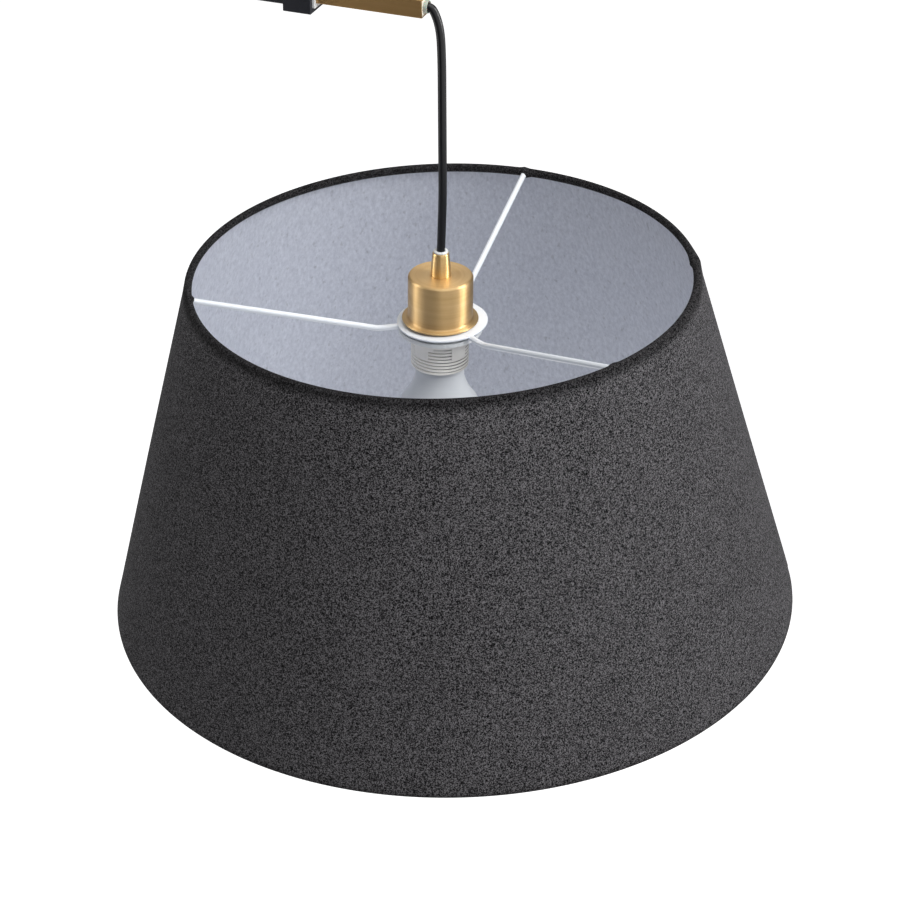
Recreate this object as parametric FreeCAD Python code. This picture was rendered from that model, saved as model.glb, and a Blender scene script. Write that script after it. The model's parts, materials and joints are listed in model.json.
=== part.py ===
import FreeCAD, Part
import math
import os

# Wall light with a swinging telescopic arm and a tapered drum shade that hangs from it on a cord.
# Millimetres. +Z is up, the wall is the plane Y = 0 and the light stands out from it along -Y.
# The origin is the centre of the wall bracket's back face, level with the arm.

# Wall unit
BRACKET_WIDTH = 60.0
BRACKET_HEIGHT = 154.0
BRACKET_PLATE = 2.0
BRACKET_TAB = 14.0
WALL_SCREW_SPACING = 120.0
WALL_SCREW_RADIUS = 2.75
CABLE_ENTRY_RADIUS = 8.0
HOUSING_WIDTH = 72.0
HOUSING_HEIGHT = 164.0
HOUSING_DEPTH = 34.0
HOUSING_WALL = 1.5
HOUSING_CORNER = 4.0
FLEX_RADIUS = 2.7
SWITCH_Z = -60.0
SWITCH_WIDTH = 14.0
SWITCH_HEIGHT = 20.0
ROCKER_TILT = 7.0

# Swivel
PIVOT_Y = -55.0
FORK_PLATE = 4.0
FORK_WIDTH = 26.0
FORK_HEIGHT = 72.0
EAR_INNER_Z = 24.0
HEAD_HALF_HEIGHT = 23.0
HEAD_RADIUS = 13.0
STUD_RADIUS = 5.0
HEAD_END_Y = -92.0
FLEX_SLOT_HALF_ANGLE = 84.0

# Arm
PENDANT_Y = -620.0
TIP_TO_PENDANT = 10.0
SHOWN_BRASS = 75.6
INNER_TUBE = 12.5
INNER_WALL = 1.0
INNER_LENGTH = 355.6
OUTER_TUBE = 18.0
OUTER_WALL = 1.5
COLLAR = 24.5
COLLAR_LENGTH = 19.8
LINER_STAND_OUT = 1.55

# Pendant, with heights above the shade's top rim
RIM_Z = -190.1
SHADE_TOP_RADIUS = 175.4
SHADE_BOTTOM_RADIUS = 245.6
SHADE_HEIGHT = 258.3
SHADE_LEAN = 1.4
LAP_ANGLE = -65.0
SHADE_SHIFT = 1.8
SHADE_RISE = 0.4
LEAN_HEADING = 21.8
FRONT_HEADING = 201.8
HOLDER_LEAN = 0.8
HOLDER_PIVOT = 17.0
FABRIC = 0.5
LINING = 0.5
HOOP_WIRE_RADIUS = 1.8
TURN_IN = 4.4
TURN_IN_SLANT = 32.0
SPIDER_WIRE_RADIUS = 1.9
SPIDER_FIRST_ANGLE = 0.65
SPIDER_RING_RADIUS = 31.3
SPIDER_RING_BORE = 22.2
SPIDER_RING_TOP = -36.5
SPIDER_RING_THICKNESS = 1.4
SPIDER_RING_SHIFT = -1.25
CUP_RADIUS = 22.4
CUP_WALL = 1.0
THREAD_RADIUS = 20.0
THREAD_PITCH = 2.5
BULB_RADIUS = 30.0
CORD_RADIUS = 2.9

# The hanging cord's route: distance toward the wall from the pendant's axis, height above the rim
CORD_ROUTE = [
    (9.3, 190.1),
    (6.5, 190.1),
    (4.1, 188.5),
    (1.8, 183.2),
    (0.1, 176.2),
    (-1.0, 167.2),
    (-1.4, 150.0),
    (-1.5, 58.0),
    (-0.8, 36.0),
    (0.0, 17.1),
]
CORD_JOINT = 5
ARC_SHARE = 0.45

# Clearances
FIT = 0.03
RUNNING = 0.05

UP = FreeCAD.Vector(0, 0, 1)
ALONG_X = FreeCAD.Vector(1, 0, 0)
ALONG_Y = FreeCAD.Vector(0, 1, 0)
TIP_Y = PENDANT_Y + TIP_TO_PENDANT
COLLAR_END_Y = TIP_Y + SHOWN_BRASS
COLLAR_START_Y = COLLAR_END_Y + COLLAR_LENGTH
OUTER_END_Y = COLLAR_END_Y + 4.0
CLAMP_Y = (COLLAR_START_Y + COLLAR_END_Y) / 2


def at(x, y, z):
    return FreeCAD.Vector(x, y, z)


def block(x0, x1, y0, y1, z0, z1):
    return Part.makeBox(x1 - x0, y1 - y0, z1 - z0, at(x0, y0, z0))


def rod(radius, start, end):
    line = end - start
    return Part.makeCylinder(radius, line.Length, start, line)


def edges_along(shape, axis):
    found = []
    for edge in shape.Edges:
        line = edge.Vertexes[-1].Point - edge.Vertexes[0].Point
        if line.Length > 1e-6 and abs(line.normalize().dot(axis)) > 0.999:
            found.append(edge)
    return found


def square_bar(side, corner, y0, y1):
    """A bar of square section along Y, centred on the arm, with its long edges rounded."""
    half = side / 2
    bar = block(-half, half, y0, y1, -half, half)
    return bar.makeFillet(corner, edges_along(bar, ALONG_Y)) if corner else bar


def face_of(outline, place):
    """A flat face from an outline of points. An entry of two points is an arc through the first to the second."""
    edges = []
    here = place(*outline[0])
    for entry in outline[1:] + [outline[0]]:
        if isinstance(entry[0], tuple):
            middle, end = place(*entry[0]), place(*entry[1])
            edges.append(Part.Arc(here, middle, end).toShape())
        else:
            end = place(*entry)
            if (end - here).Length < 1e-7:
                continue
            edges.append(Part.LineSegment(here, end).toShape())
        here = end
    return Part.Face(Part.Wire(edges))


def turned(outline, base_z=RIM_Z, y=PENDANT_Y):
    """A solid of revolution about the vertical through (0, y) from an outline in (radius, height above base_z)."""
    face = face_of(outline, lambda r, z: at(r, y, base_z + z))
    return face.revolve(at(0, y, 0), UP, 360)


def route_wire(points, tightest=None):
    """Straight runs joined by tangent arcs, each as large as its two runs allow, with the arcs' radii."""
    edges, radii = [], []
    here = points[0]
    for before, corner, after in zip(points, points[1:], points[2:]):
        back, onward = (before - corner), (after - corner)
        run = min(back.Length, onward.Length)
        back.normalize()
        onward.normalize()
        half_turn = (math.pi - back.getAngle(onward)) / 2
        radius = ARC_SHARE * run / math.tan(half_turn)
        if tightest and radius > tightest:
            radius = tightest
        reach = radius * math.tan(half_turn)
        start, end = corner + back * reach, corner + onward * reach
        bisector = (back + onward).normalize()
        middle = corner + bisector * (radius / math.cos(half_turn) - radius)
        edges.append(Part.LineSegment(here, start).toShape())
        edges.append(Part.Arc(start, middle, end).toShape())
        radii.append(radius)
        here = end
    edges.append(Part.LineSegment(here, points[-1]).toShape())
    return Part.Wire(edges), radii


def tube(name, points, radius, tightest=None):
    """A round cord or wire along a route, checked against its section times its length."""
    path, radii = route_wire(points, tightest)
    heading = points[1] - points[0]
    section = Part.Wire(Part.Circle(points[0], heading, radius).toShape())
    solid = path.makePipeShell([section], True, False)
    expected = math.pi * radius ** 2 * path.Length
    print(
        f"{name}: length {path.Length:.1f}, volume {solid.Volume:.1f} of {expected:.1f}, "
        f"arc radii {[round(r, 1) for r in radii]}"
    )
    return solid


def group(solids):
    return Part.makeCompound(solids)


def on_route(y, z):
    """A point of the pendant's plane X = 0, from a distance toward the wall and a height above the rim."""
    return at(0, PENDANT_Y + y, RIM_Z + z)


def wall_bracket():
    half_width, half_height = BRACKET_WIDTH / 2, BRACKET_HEIGHT / 2
    plate = block(-half_width, half_width, -BRACKET_PLATE, 0, -half_height, half_height)
    for side in (-1, 1):
        z0, z1 = sorted((side * half_height, side * (half_height - BRACKET_PLATE)))
        tab = block(-10, 10, -BRACKET_TAB, 0, z0, z1)
        plate = plate.fuse(tab)
        screw_hole = rod(1.98, at(0, -9, side * (half_height - 5)), at(0, -9, side * (half_height + 5)))
        plate = plate.cut(screw_hole)
        wall_hole_z = side * WALL_SCREW_SPACING / 2
        plate = plate.cut(rod(WALL_SCREW_RADIUS, at(0, -5, wall_hole_z), at(0, 5, wall_hole_z)))
    return plate.cut(rod(CABLE_ENTRY_RADIUS, at(0, -5, 0), at(0, 5, 0))).removeSplitter()


def wall_housing():
    half_width, half_height = HOUSING_WIDTH / 2, HOUSING_HEIGHT / 2
    outer = block(-half_width, half_width, -HOUSING_DEPTH, 0, -half_height, half_height)
    outer = outer.makeFillet(HOUSING_CORNER, edges_along(outer, ALONG_Y))
    front = [e for e in outer.Edges if all(abs(v.Y + HOUSING_DEPTH) < 1e-6 for v in e.Vertexes)]
    outer = outer.makeFillet(2.0, front)
    wall = HOUSING_WALL
    inner = block(
        wall - half_width, half_width - wall, wall - HOUSING_DEPTH, 1, wall - half_height, half_height - wall
    )
    inner = inner.makeFillet(HOUSING_CORNER - wall, edges_along(inner, ALONG_Y))
    shell = outer.cut(inner)
    through = -HOUSING_DEPTH - 5
    shell = shell.cut(rod(6.0, at(0, through, 0), at(0, -HOUSING_DEPTH + 5, 0)))
    for x, z in bolt_places():
        shell = shell.cut(rod(2.1, at(x, through, z), at(x, -HOUSING_DEPTH + 5, z)))
    half_slot = SWITCH_WIDTH / 2 + 0.1
    half_tall = SWITCH_HEIGHT / 2 + 0.1
    shell = shell.cut(
        block(-half_slot, half_slot, through, -HOUSING_DEPTH + 5, SWITCH_Z - half_tall, SWITCH_Z + half_tall)
    )
    for side in (-1, 1):
        edge = side * half_height
        shell = shell.cut(rod(2.1, at(0, -9, edge - 4 * side), at(0, -9, edge + 4 * side)))
    return shell


def bolt_places():
    return [(x, z) for x in (-8.5, 8.5) for z in (-18.0, 18.0)]


def dome_screw(head_radius, head_height, shank_radius, shank_length):
    """A dome-headed screw along +Z with its head's underside at the origin and a hexagon socket."""
    head = face_of(
        [(0, 0), (head_radius, 0), ((head_radius * 0.8, head_height * 0.68), (0, head_height))],
        lambda r, z: at(r, 0, z),
    ).revolve(at(0, 0, 0), UP, 360)
    socket = hexagon(head_radius * 0.48, head_height * 0.45, head_height + 1)
    return head.fuse(rod(shank_radius, at(0, 0, 0.01), at(0, 0, -shank_length))).cut(socket)


def hexagon(corner_radius, z0, z1):
    points = []
    for k in range(7):
        turn = math.radians(60 * k)
        points.append(at(corner_radius * math.cos(turn), corner_radius * math.sin(turn), z0))
    return Part.Face(Part.makePolygon(points)).extrude(at(0, 0, z1 - z0))


def placed(shape, position, direction):
    """A copy of a shape made along +Z at the origin, turned to a direction and moved to a position."""
    copy = shape.copy()
    copy.Placement = FreeCAD.Placement(position, FreeCAD.Rotation(UP, direction))
    return copy


def housing_screws():
    screw = dome_screw(3.6, 2.2, 1.95, 9.0)
    edge = HOUSING_HEIGHT / 2
    return group([placed(screw, at(0, -9, side * edge), at(0, 0, side)) for side in (-1, 1)])


def fork_stiffener():
    front = HOUSING_WALL - HOUSING_DEPTH
    plate = block(-25, 25, front, front + 3, -44, 44)
    plate = plate.cut(rod(6.0, at(0, front - 1, 0), at(0, front + 4, 0)))
    for x, z in bolt_places():
        plate = plate.cut(rod(2.1, at(x, front - 1, z), at(x, front + 4, z)))
    return plate


def pivot_fork():
    back = -HOUSING_DEPTH
    half = FORK_WIDTH / 2
    front = back - FORK_PLATE
    fork = block(-half, half, front, back, -FORK_HEIGHT / 2, FORK_HEIGHT / 2)
    fork = fork.makeFillet(3.0, edges_along(fork, ALONG_Y))
    for z0 in (EAR_INNER_Z, -EAR_INNER_Z - FORK_PLATE):
        ear = block(-half, half, PIVOT_Y, front, z0, z0 + FORK_PLATE)
        ear = ear.fuse(rod(half, at(0, PIVOT_Y, z0), at(0, PIVOT_Y, z0 + FORK_PLATE)))
        fork = fork.fuse(ear)
    fork = fork.removeSplitter()
    fork = fork.cut(rod(STUD_RADIUS + FIT, at(0, PIVOT_Y, -40), at(0, PIVOT_Y, 40)))
    fork = fork.cut(rod(5.4 + FIT, at(0, front - 1, 0), at(0, back + 1, 0)))
    for x, z in bolt_places():
        fork = fork.cut(rod(2.0 + FIT, at(x, front - 1, z), at(x, back + 1, z)))
    return fork


def fork_bolts():
    seat = HOUSING_WALL - HOUSING_DEPTH + 3
    bolt = dome_screw(3.8, 2.2, 2.0, seat + HOUSING_DEPTH + FORK_PLATE - 0.2)
    return group([placed(bolt, at(x, seat, z), ALONG_Y) for x, z in bolt_places()])


def pivot_studs():
    outer_face = EAR_INNER_Z + FORK_PLATE
    stud = dome_screw(8.0, 3.6, STUD_RADIUS, 14.0)
    return group([placed(stud, at(0, PIVOT_Y, s * outer_face), at(0, 0, s)) for s in (-1, 1)])


def inlet_grommet():
    front = -HOUSING_DEPTH - FORK_PLATE
    body = rod(5.4, at(0, front, 0), at(0, -HOUSING_DEPTH + 4.5, 0))
    lip = rod(6.8, at(0, front - 1.0, 0), at(0, front, 0))
    lip = lip.makeFillet(0.4, [e for e in lip.Edges if e.Vertexes[0].Y < front - 0.5 and e.Length > 20])
    return body.fuse(lip).cut(rod(FLEX_RADIUS + 0.1, at(0, front - 2, 0), at(0, -20, 0)))


def terminal_screw_places():
    return [(x, z) for x in (-9.5, 0.0, 9.5) for z in (38.5, 45.5)]


def terminal_block():
    body = block(-15, 15, -16, -BRACKET_PLATE, 35, 49)
    body = body.makeFillet(1.0, edges_along(body, ALONG_Y))
    for x, z in terminal_screw_places():
        body = body.cut(rod(1.75, at(x, -17, z), at(x, -11, z)))
    return body


def terminal_screws():
    screws = []
    for x, z in terminal_screw_places():
        screw = rod(1.72, at(x, -16.4, z), at(x, -11, z))
        screws.append(screw.cut(block(x - 2, x + 2, -17, -15.9, z - 0.3, z + 0.3)))
    return group(screws)


def earth_screw():
    head = placed(hexagon(4.0, 0, 2.8), at(20, -BRACKET_PLATE, -20), at(0, -1, 0))
    return head.fuse(rod(2.0, at(20, -BRACKET_PLATE, -20), at(20, -9, -20)))


def supply_flex():
    """The sheathed flex from the terminal block to the pivot, where a round end stands for its bend."""
    pivot = at(0, PIVOT_Y, 0)
    points = [at(0, -9, 34.8), at(0, -9, 14), at(0, -14, 3), at(0, -26, 0), pivot]
    flex = tube("supply_flex", points, FLEX_RADIUS)
    return flex.fuse(Part.makeSphere(FLEX_RADIUS, pivot)).removeSplitter()


def switch_leads():
    leads = []
    for side in (-1, 1):
        stops = [(9.5, -9, 34.8), (9.5, -9, 24), (19, -10, 8), (20, -11, -14), (13, -11, -34), (5.5, -11.5, -44)]
        stops.append((4, -12, -53.4))
        points = [at(side * x, y, z) for x, y, z in stops]
        leads.append(tube("switch_lead", points, 1.1))
    return group(leads)


def switch_body():
    half_width, half_height = SWITCH_WIDTH / 2, SWITCH_HEIGHT / 2
    front = -HOUSING_DEPTH
    body = block(-half_width, half_width, front, -15, SWITCH_Z - half_height, SWITCH_Z + half_height)
    flange = block(
        -half_width - 1.5, half_width + 1.5, front - 1.5, front, SWITCH_Z - half_height - 1.5,
        SWITCH_Z + half_height + 1.5,
    )
    flange = flange.makeFillet(1.2, edges_along(flange, ALONG_Y))
    body = body.fuse(flange)
    body = body.cut(block(-5.7, 5.7, front - 2, front + 8, SWITCH_Z - 9, SWITCH_Z + 9))
    for x in (-4.0, 4.0):
        body = body.fuse(block(x - 1.5, x + 1.5, -15.1, -10.5, SWITCH_Z - 3, SWITCH_Z + 6.4))
    return body.removeSplitter()


def rocker_pivot():
    return at(0, -HOUSING_DEPTH + 0.5, SWITCH_Z)


def switch_rocker():
    """The rocker in its rest place, upper half pressed in."""
    pivot = rocker_pivot()
    outline = [(-8.2, -3.9), (0, -2.3), (8.2, -3.9), (8.2, 0.5), (3.0, 5.0), (-3.0, 5.0), (-8.2, 0.5)]
    rocker = face_of(outline, lambda z, y: pivot + at(-5.5, y, z)).extrude(at(11.0, 0, 0))
    long_edges = [e for e in rocker.Edges if e.BoundBox.YMax < pivot.y - 2.0]
    rocker = rocker.makeFillet(0.5, long_edges)
    rocker.rotate(pivot, ALONG_X, -ROCKER_TILT)
    return rocker


def arm_head():
    half = COLLAR / 2
    head = rod(HEAD_RADIUS, at(0, PIVOT_Y, -HEAD_HALF_HEIGHT), at(0, PIVOT_Y, HEAD_HALF_HEIGHT))
    head = head.makeFillet(1.5, [e for e in head.Edges if e.Length > 60])
    nose = block(-half, half, HEAD_END_Y, PIVOT_Y - 4, -half, half)
    nose = nose.makeFillet(1.0, edges_along(nose, ALONG_Y))
    head = head.fuse(nose).removeSplitter()
    cavity = 12.0
    head = head.cut(rod(9.0, at(0, PIVOT_Y, -cavity), at(0, PIVOT_Y, cavity)))
    head = head.cut(rod(7.0 + FIT, at(0, PIVOT_Y, -30), at(0, PIVOT_Y, 30)))
    head = head.cut(rod(6.0, at(0, PIVOT_Y, 0), at(0, HEAD_END_Y + 10, 0)))
    socket = OUTER_TUBE + 2 * RUNNING
    head = head.cut(square_bar(socket, 0, HEAD_END_Y - 1, -68.0))
    sweep = 2 * FLEX_SLOT_HALF_ANGLE
    slot = Part.makeCylinder(HEAD_RADIUS + 2, 8.0, at(0, 0, 0), UP, sweep)
    slot.rotate(at(0, 0, 0), UP, 90 - FLEX_SLOT_HALF_ANGLE)
    slot.translate(at(0, PIVOT_Y, -4))
    head = head.cut(slot)
    for y in (-76.0, -85.0):
        head = head.cut(rod(2.0 + FIT, at(0, y, -half - 1), at(0, y, -half + 5)))
    return head


def pivot_bushes():
    bushes = []
    for side in (-1, 1):
        body = rod(7.0, at(0, PIVOT_Y, side * 13.5), at(0, PIVOT_Y, side * HEAD_HALF_HEIGHT))
        flange = rod(10.0, at(0, PIVOT_Y, side * HEAD_HALF_HEIGHT), at(0, PIVOT_Y, side * (EAR_INNER_Z - RUNNING)))
        bore = rod(STUD_RADIUS + RUNNING, at(0, PIVOT_Y, side * 12), at(0, PIVOT_Y, side * 30))
        bushes.append(body.fuse(flange).cut(bore))
    return group(bushes)


def head_grub_screws():
    screws = []
    for y in (-76.0, -85.0):
        screw = rod(2.0, at(0, y, -OUTER_TUBE / 2 - RUNNING), at(0, y, -COLLAR / 2 + 0.2))
        socket = placed(hexagon(1.15, 0, 1.6), at(0, y, -COLLAR / 2 + 1.7), at(0, 0, -1))
        screws.append(screw.cut(socket))
    return group(screws)


def clamp_bore():
    return rod(2.5 + RUNNING, at(0, CLAMP_Y, INNER_TUBE / 2 - 1), at(0, CLAMP_Y, COLLAR / 2 + 1))


def arm_tube():
    bar = square_bar(OUTER_TUBE, 1.2, OUTER_END_Y, -68.1)
    bore = square_bar(OUTER_TUBE - 2 * OUTER_WALL, 0.6, OUTER_END_Y - 1, -60)
    return bar.cut(bore).cut(clamp_bore())


def end_collar():
    collar = square_bar(COLLAR, 0.8, COLLAR_END_Y, COLLAR_START_Y)
    rims = [e for e in collar.Edges if abs(e.Vertexes[0].Y - e.Vertexes[-1].Y) < 1e-6]
    collar = collar.makeChamfer(0.3, rims)
    return collar.cut(square_bar(OUTER_TUBE + 2 * RUNNING, 1.2, COLLAR_END_Y - 1, COLLAR_START_Y + 1)).cut(clamp_bore())


def collar_liner():
    flange = square_bar(OUTER_TUBE, 1.2, COLLAR_END_Y - LINER_STAND_OUT, OUTER_END_Y - RUNNING)
    body = square_bar(OUTER_TUBE - 2 * OUTER_WALL - 0.1, 0.6, OUTER_END_Y - 0.1, OUTER_END_Y + 42)
    bore = square_bar(INNER_TUBE + 0.4, 0.9, COLLAR_END_Y - 5, OUTER_END_Y + 50)
    return flange.fuse(body).removeSplitter().cut(bore).cut(clamp_bore())


def clamp_screw():
    """Knurled thumb screw on top of the collar. Its tip just clears the inner tube."""
    top = COLLAR / 2
    shank = rod(2.5, at(0, CLAMP_Y, INNER_TUBE / 2 + RUNNING), at(0, CLAMP_Y, top + 1))
    neck = rod(4.0, at(0, CLAMP_Y, top + 0.2), at(0, CLAMP_Y, top + 1.2))
    knob = Part.makeCylinder(7.0, 8.0, at(0, CLAMP_Y, top + 1.2))
    knob = knob.makeFillet(0.8, [e for e in knob.Edges if e.Length > 40])
    flutes = []
    for k in range(24):
        turn = math.radians(15 * k)
        centre = at(7.2 * math.cos(turn), CLAMP_Y + 7.2 * math.sin(turn), top + 2.2)
        flutes.append(Part.makeCylinder(0.5, 6.0, centre))
    return shank.fuse([neck, knob]).removeSplitter().cut(flutes)


def arm_lead():
    """The flex in the head and the arm's wall end."""
    return rod(FLEX_RADIUS, at(0, PIVOT_Y - FLEX_RADIUS - 0.2, 0), at(0, -110, 0))


def inner_rear_y():
    return TIP_Y + INNER_LENGTH


def glide_rear_y():
    return inner_rear_y() + 20.0


def coiled_lead():
    """The outer form of the lead's coil, which stretches as the arm is drawn out."""
    coil = rod(6.1, at(0, glide_rear_y() + 0.2, 0), at(0, -110.2, 0))
    return coil.cut(rod(3.1, at(0, glide_rear_y() - 1, 0), at(0, -109, 0)))


def inner_tube():
    bar = square_bar(INNER_TUBE, 0.6, TIP_Y, inner_rear_y())
    return bar.cut(square_bar(INNER_TUBE - 2 * INNER_WALL, 0.3, TIP_Y - 1, inner_rear_y() + 1))


def tip_plug():
    side = INNER_TUBE - 2 * INNER_WALL - 2 * FIT
    plug = square_bar(side, 0.3, TIP_Y, TIP_Y + 8)
    return plug.cut(rod(3.6 + FIT, at(0, TIP_Y - 1, 0), at(0, TIP_Y + 9, 0)))


def cord_bushing():
    """The clear nylon bush that the cord leaves by, with a bell mouth."""
    outline = [
        (3.0, 8.0),
        (3.6, 8.0),
        (3.6, 0.0),
        (4.3, 0.0),
        (4.3, -1.6),
        ((4.15, -1.95), (3.8, -2.1)),
        ((3.25, -1.6), (3.0, 0.2)),
    ]
    face = face_of(outline, lambda r, y: at(r, TIP_Y + y, 0))
    return face.revolve(at(0, 0, 0), ALONG_Y, 360)


def rear_glide():
    spigot = square_bar(INNER_TUBE - 2 * INNER_WALL - 2 * FIT, 0.3, inner_rear_y() - 10, inner_rear_y() + 1)
    body = square_bar(OUTER_TUBE - 2 * OUTER_WALL - 0.2, 0.8, inner_rear_y(), glide_rear_y())
    return spigot.fuse(body).cut(rod(3.2, at(0, inner_rear_y() - 12, 0), at(0, glide_rear_y() + 2, 0)))


def tip_lead():
    """The flex along the inner tube, up to the bush."""
    return rod(CORD_RADIUS, at(0, TIP_Y + 0.6, 0), at(0, glide_rear_y(), 0))


def cord_bend():
    """The cord from the bush to the place where it flexes, 0.2 short of the drop's round end."""
    points = [on_route(y, z) for y, z in CORD_ROUTE[: CORD_JOINT + 1]]
    last = points[-2] - points[-1]
    points[-1] = points[-1] + last.normalize() * (CORD_RADIUS + 0.2)
    return tube("cord_bend", points, CORD_RADIUS)


def cord_drop():
    points = [on_route(y, z) for y, z in CORD_ROUTE[CORD_JOINT:]]
    drop = tube("cord_drop", points, CORD_RADIUS)
    return drop.fuse(Part.makeSphere(CORD_RADIUS, points[0])).removeSplitter()


def turned_about(shape, height, degrees):
    """A copy turned about the level line through the pendant's axis at a height, in the plane of the shade's lean."""
    heading = math.radians(LEAN_HEADING)
    copy = shape.copy()
    copy.rotate(at(0, PENDANT_Y, RIM_Z + height), at(math.cos(heading), math.sin(heading), 0), degrees)
    return copy


def hung(shape):
    """Moves a part of the lamp holder from true to the way it hangs, leaning a little the other way from the shade."""
    return turned_about(shape, HOLDER_PIVOT, HOLDER_LEAN)


def cord_tail():
    return hung(rod(CORD_RADIUS, at(0, PENDANT_Y, RIM_Z - 14), at(0, PENDANT_Y, RIM_Z + 16.9)))


def cord_collet():
    outline = [(2.95, 11.7), (3.1, 11.7), (4.4, 15.55), (4.95, 15.55), ((5.1, 16.2), (4.6, 16.9)), (2.95, 16.9)]
    return hung(turned(outline))


def grip_nozzle():
    outline = [
        (3.0, -9.0),
        (4.97, -9.0),
        (4.97, -1.7),
        (6.85, -1.7),
        (6.85, -1.2),
        ((6.45, 8.0), (5.6, 15.2)),
        (5.35, 15.5),
        (4.6, 15.5),
        (3.0, 10.9),
    ]
    return hung(turned(outline))


def grip_nut():
    nut = hexagon(7.5, RIM_Z - 5.7, RIM_Z - 2.72)
    nut.translate(at(0, PENDANT_Y, 0))
    return hung(nut.cut(rod(5.0, at(0, PENDANT_Y, RIM_Z - 7), at(0, PENDANT_Y, RIM_Z))))


def holder_cup():
    """The spun brass cup, with a small round at its shoulder and a flat lip turned out below."""
    outer, inner = CUP_RADIUS, CUP_RADIUS - CUP_WALL
    outline = [
        (5.0, -1.7),
        (outer - 1.8, -1.7),
        ((outer - 0.53, -2.23), (outer, -3.5)),
        (outer, -31.9),
        ((outer + 0.44, -32.96), (outer + 1.5, -33.4)),
        (25.75, -33.7),
        ((26.35, -34.35), (25.75, -35.0)),
        (24.2, -34.95),
        ((22.22, -34.13), (inner, -32.15)),
        (inner, -3.6),
        ((inner - 0.26, -2.96), (inner - 0.9, -2.7)),
        (5.0, -2.7),
    ]
    return hung(turned(outline))


def holder_cap():
    """The holder's upper half, which covers the wire terminals inside the cup."""
    outline = [
        (3.2, -9.2),
        (12.0, -9.2),
        (20.9, -16.0),
        (20.9, -33.0),
        (18.9, -33.0),
        (18.9, -17.0),
        (11.3, -11.2),
        (3.2, -11.2),
    ]
    return hung(turned(outline))


def sector(inner, outer, low, high, middle, half_angle):
    """A piece of a ring about the pendant's axis, as wide as twice half_angle about the heading of middle."""
    piece = turned([(inner, high), (outer, high), (outer, low), (inner, low)])
    wedge = Part.makeCylinder(2 * outer, high - low + 2, at(0, PENDANT_Y, RIM_Z + low - 1), UP, 2 * half_angle)
    wedge.rotate(at(0, PENDANT_Y, 0), UP, middle - half_angle)
    return piece.common(wedge)


def holder_skirt():
    """The lamp holder's threaded skirt. Each groove of the thread is a ring at the real pitch. A plain band lies
    under the shade's nut, and two plain pads beside the front break the first grooves below it."""
    crest, root = THREAD_RADIUS, THREAD_RADIUS - 1.1
    outline = [(2.5, -33.2), (20.9, -33.2), (20.9, -34.1), (19.8, -34.1), (19.8, -38.4), (crest, -38.6)]
    for k in range(12):
        middle = -39.7 - k * THREAD_PITCH
        if k not in (3, 4):
            outline += [(crest, middle + 0.6), (root, middle + 0.2), (root, middle - 0.2), (crest, middle - 0.6)]
    outline += [(crest, -69.1), (19.6, -69.5), (14.7, -69.5), (14.7, -39.1), (2.5, -39.1)]
    skirt = turned(outline)
    for middle in (FRONT_HEADING - 42, FRONT_HEADING + 42):
        skirt = skirt.fuse(sector(18.0, crest, -58.4, -51.0, middle, 18))
    recess = block(-5.5, 5.5, -1.0, 1.0, RIM_Z - 50.8, RIM_Z - 48.4)
    recess.translate(at(0, crest + 0.5, 0))
    recess.rotate(at(0, 0, 0), UP, FRONT_HEADING + 8 - 90)
    recess.translate(at(0, PENDANT_Y, 0))
    return hung(skirt.cut(recess).removeSplitter())


def screw_shell():
    return hung(turned([(14.6, -41.9), (14.6, -65.9), (14.1, -65.9), (14.1, -41.9)]))


def centre_contact():
    leaf = block(-2.5, 2.5, PENDANT_Y - 8, PENDANT_Y + 8, RIM_Z - 39.7, RIM_Z - 39.15)
    rivet = rod(2.4, at(0, PENDANT_Y, RIM_Z - 39.4), at(0, PENDANT_Y, RIM_Z - 30))
    bump = rod(1.8, at(0, PENDANT_Y, RIM_Z - 40.5), at(0, PENDANT_Y, RIM_Z - 39.4))
    return hung(leaf.fuse([rivet, bump]).removeSplitter())


def shade_nut():
    """The ring nut that carries the spider on its hub, with fine grip notches round its flange and a short sleeve."""
    nut = turned(
        [
            (THREAD_RADIUS + 0.1, -38.6),
            (23.6, -38.6),
            (24.0, -40.1),
            (28.9, -40.1),
            ((29.18, -40.22), (29.3, -40.5)),
            (29.3, -42.8),
            ((29.18, -43.08), (28.9, -43.2)),
            (23.5, -43.2),
            (23.5, -45.1),
            (23.1, -45.5),
            (THREAD_RADIUS + 0.1, -45.5),
        ]
    )
    notches = []
    for k in range(24):
        turn = math.radians(15 * k)
        centre = at(29.75 * math.cos(turn), PENDANT_Y + 29.75 * math.sin(turn), RIM_Z - 44)
        notches.append(Part.makeCylinder(0.7, 5.5, centre))
    return hung(nut.cut(notches))


def bulb_insulator():
    return hung(turned([(0, -41.5), (4.6, -41.5), (9.5, -43.8), (0, -43.8)]))


def bulb_contact():
    return hung(turned([(0, -40.6), (2.6, -40.6), (3.2, -41.0), (3.2, -41.45), (0, -41.45)]))


def bulb_cap():
    """The bulb's screw cap, a thin shell with its thread as rings. The insulator closes its top."""
    outline = [(8.8, -43.9), (10.5, -43.9), (12.4, -45.5)]
    pitch = 3.63
    for k in range(5):
        top = -46.3 - k * pitch
        outline += [(12.3, top), ((13.2, top - pitch / 2), (12.3, top - pitch + 0.4))]
    outline += [(13.2, -65.3), (13.2, -67.1), (11.5, -67.1), (11.5, -45.7), (8.8, -44.7)]
    return hung(turned(outline))


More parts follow.
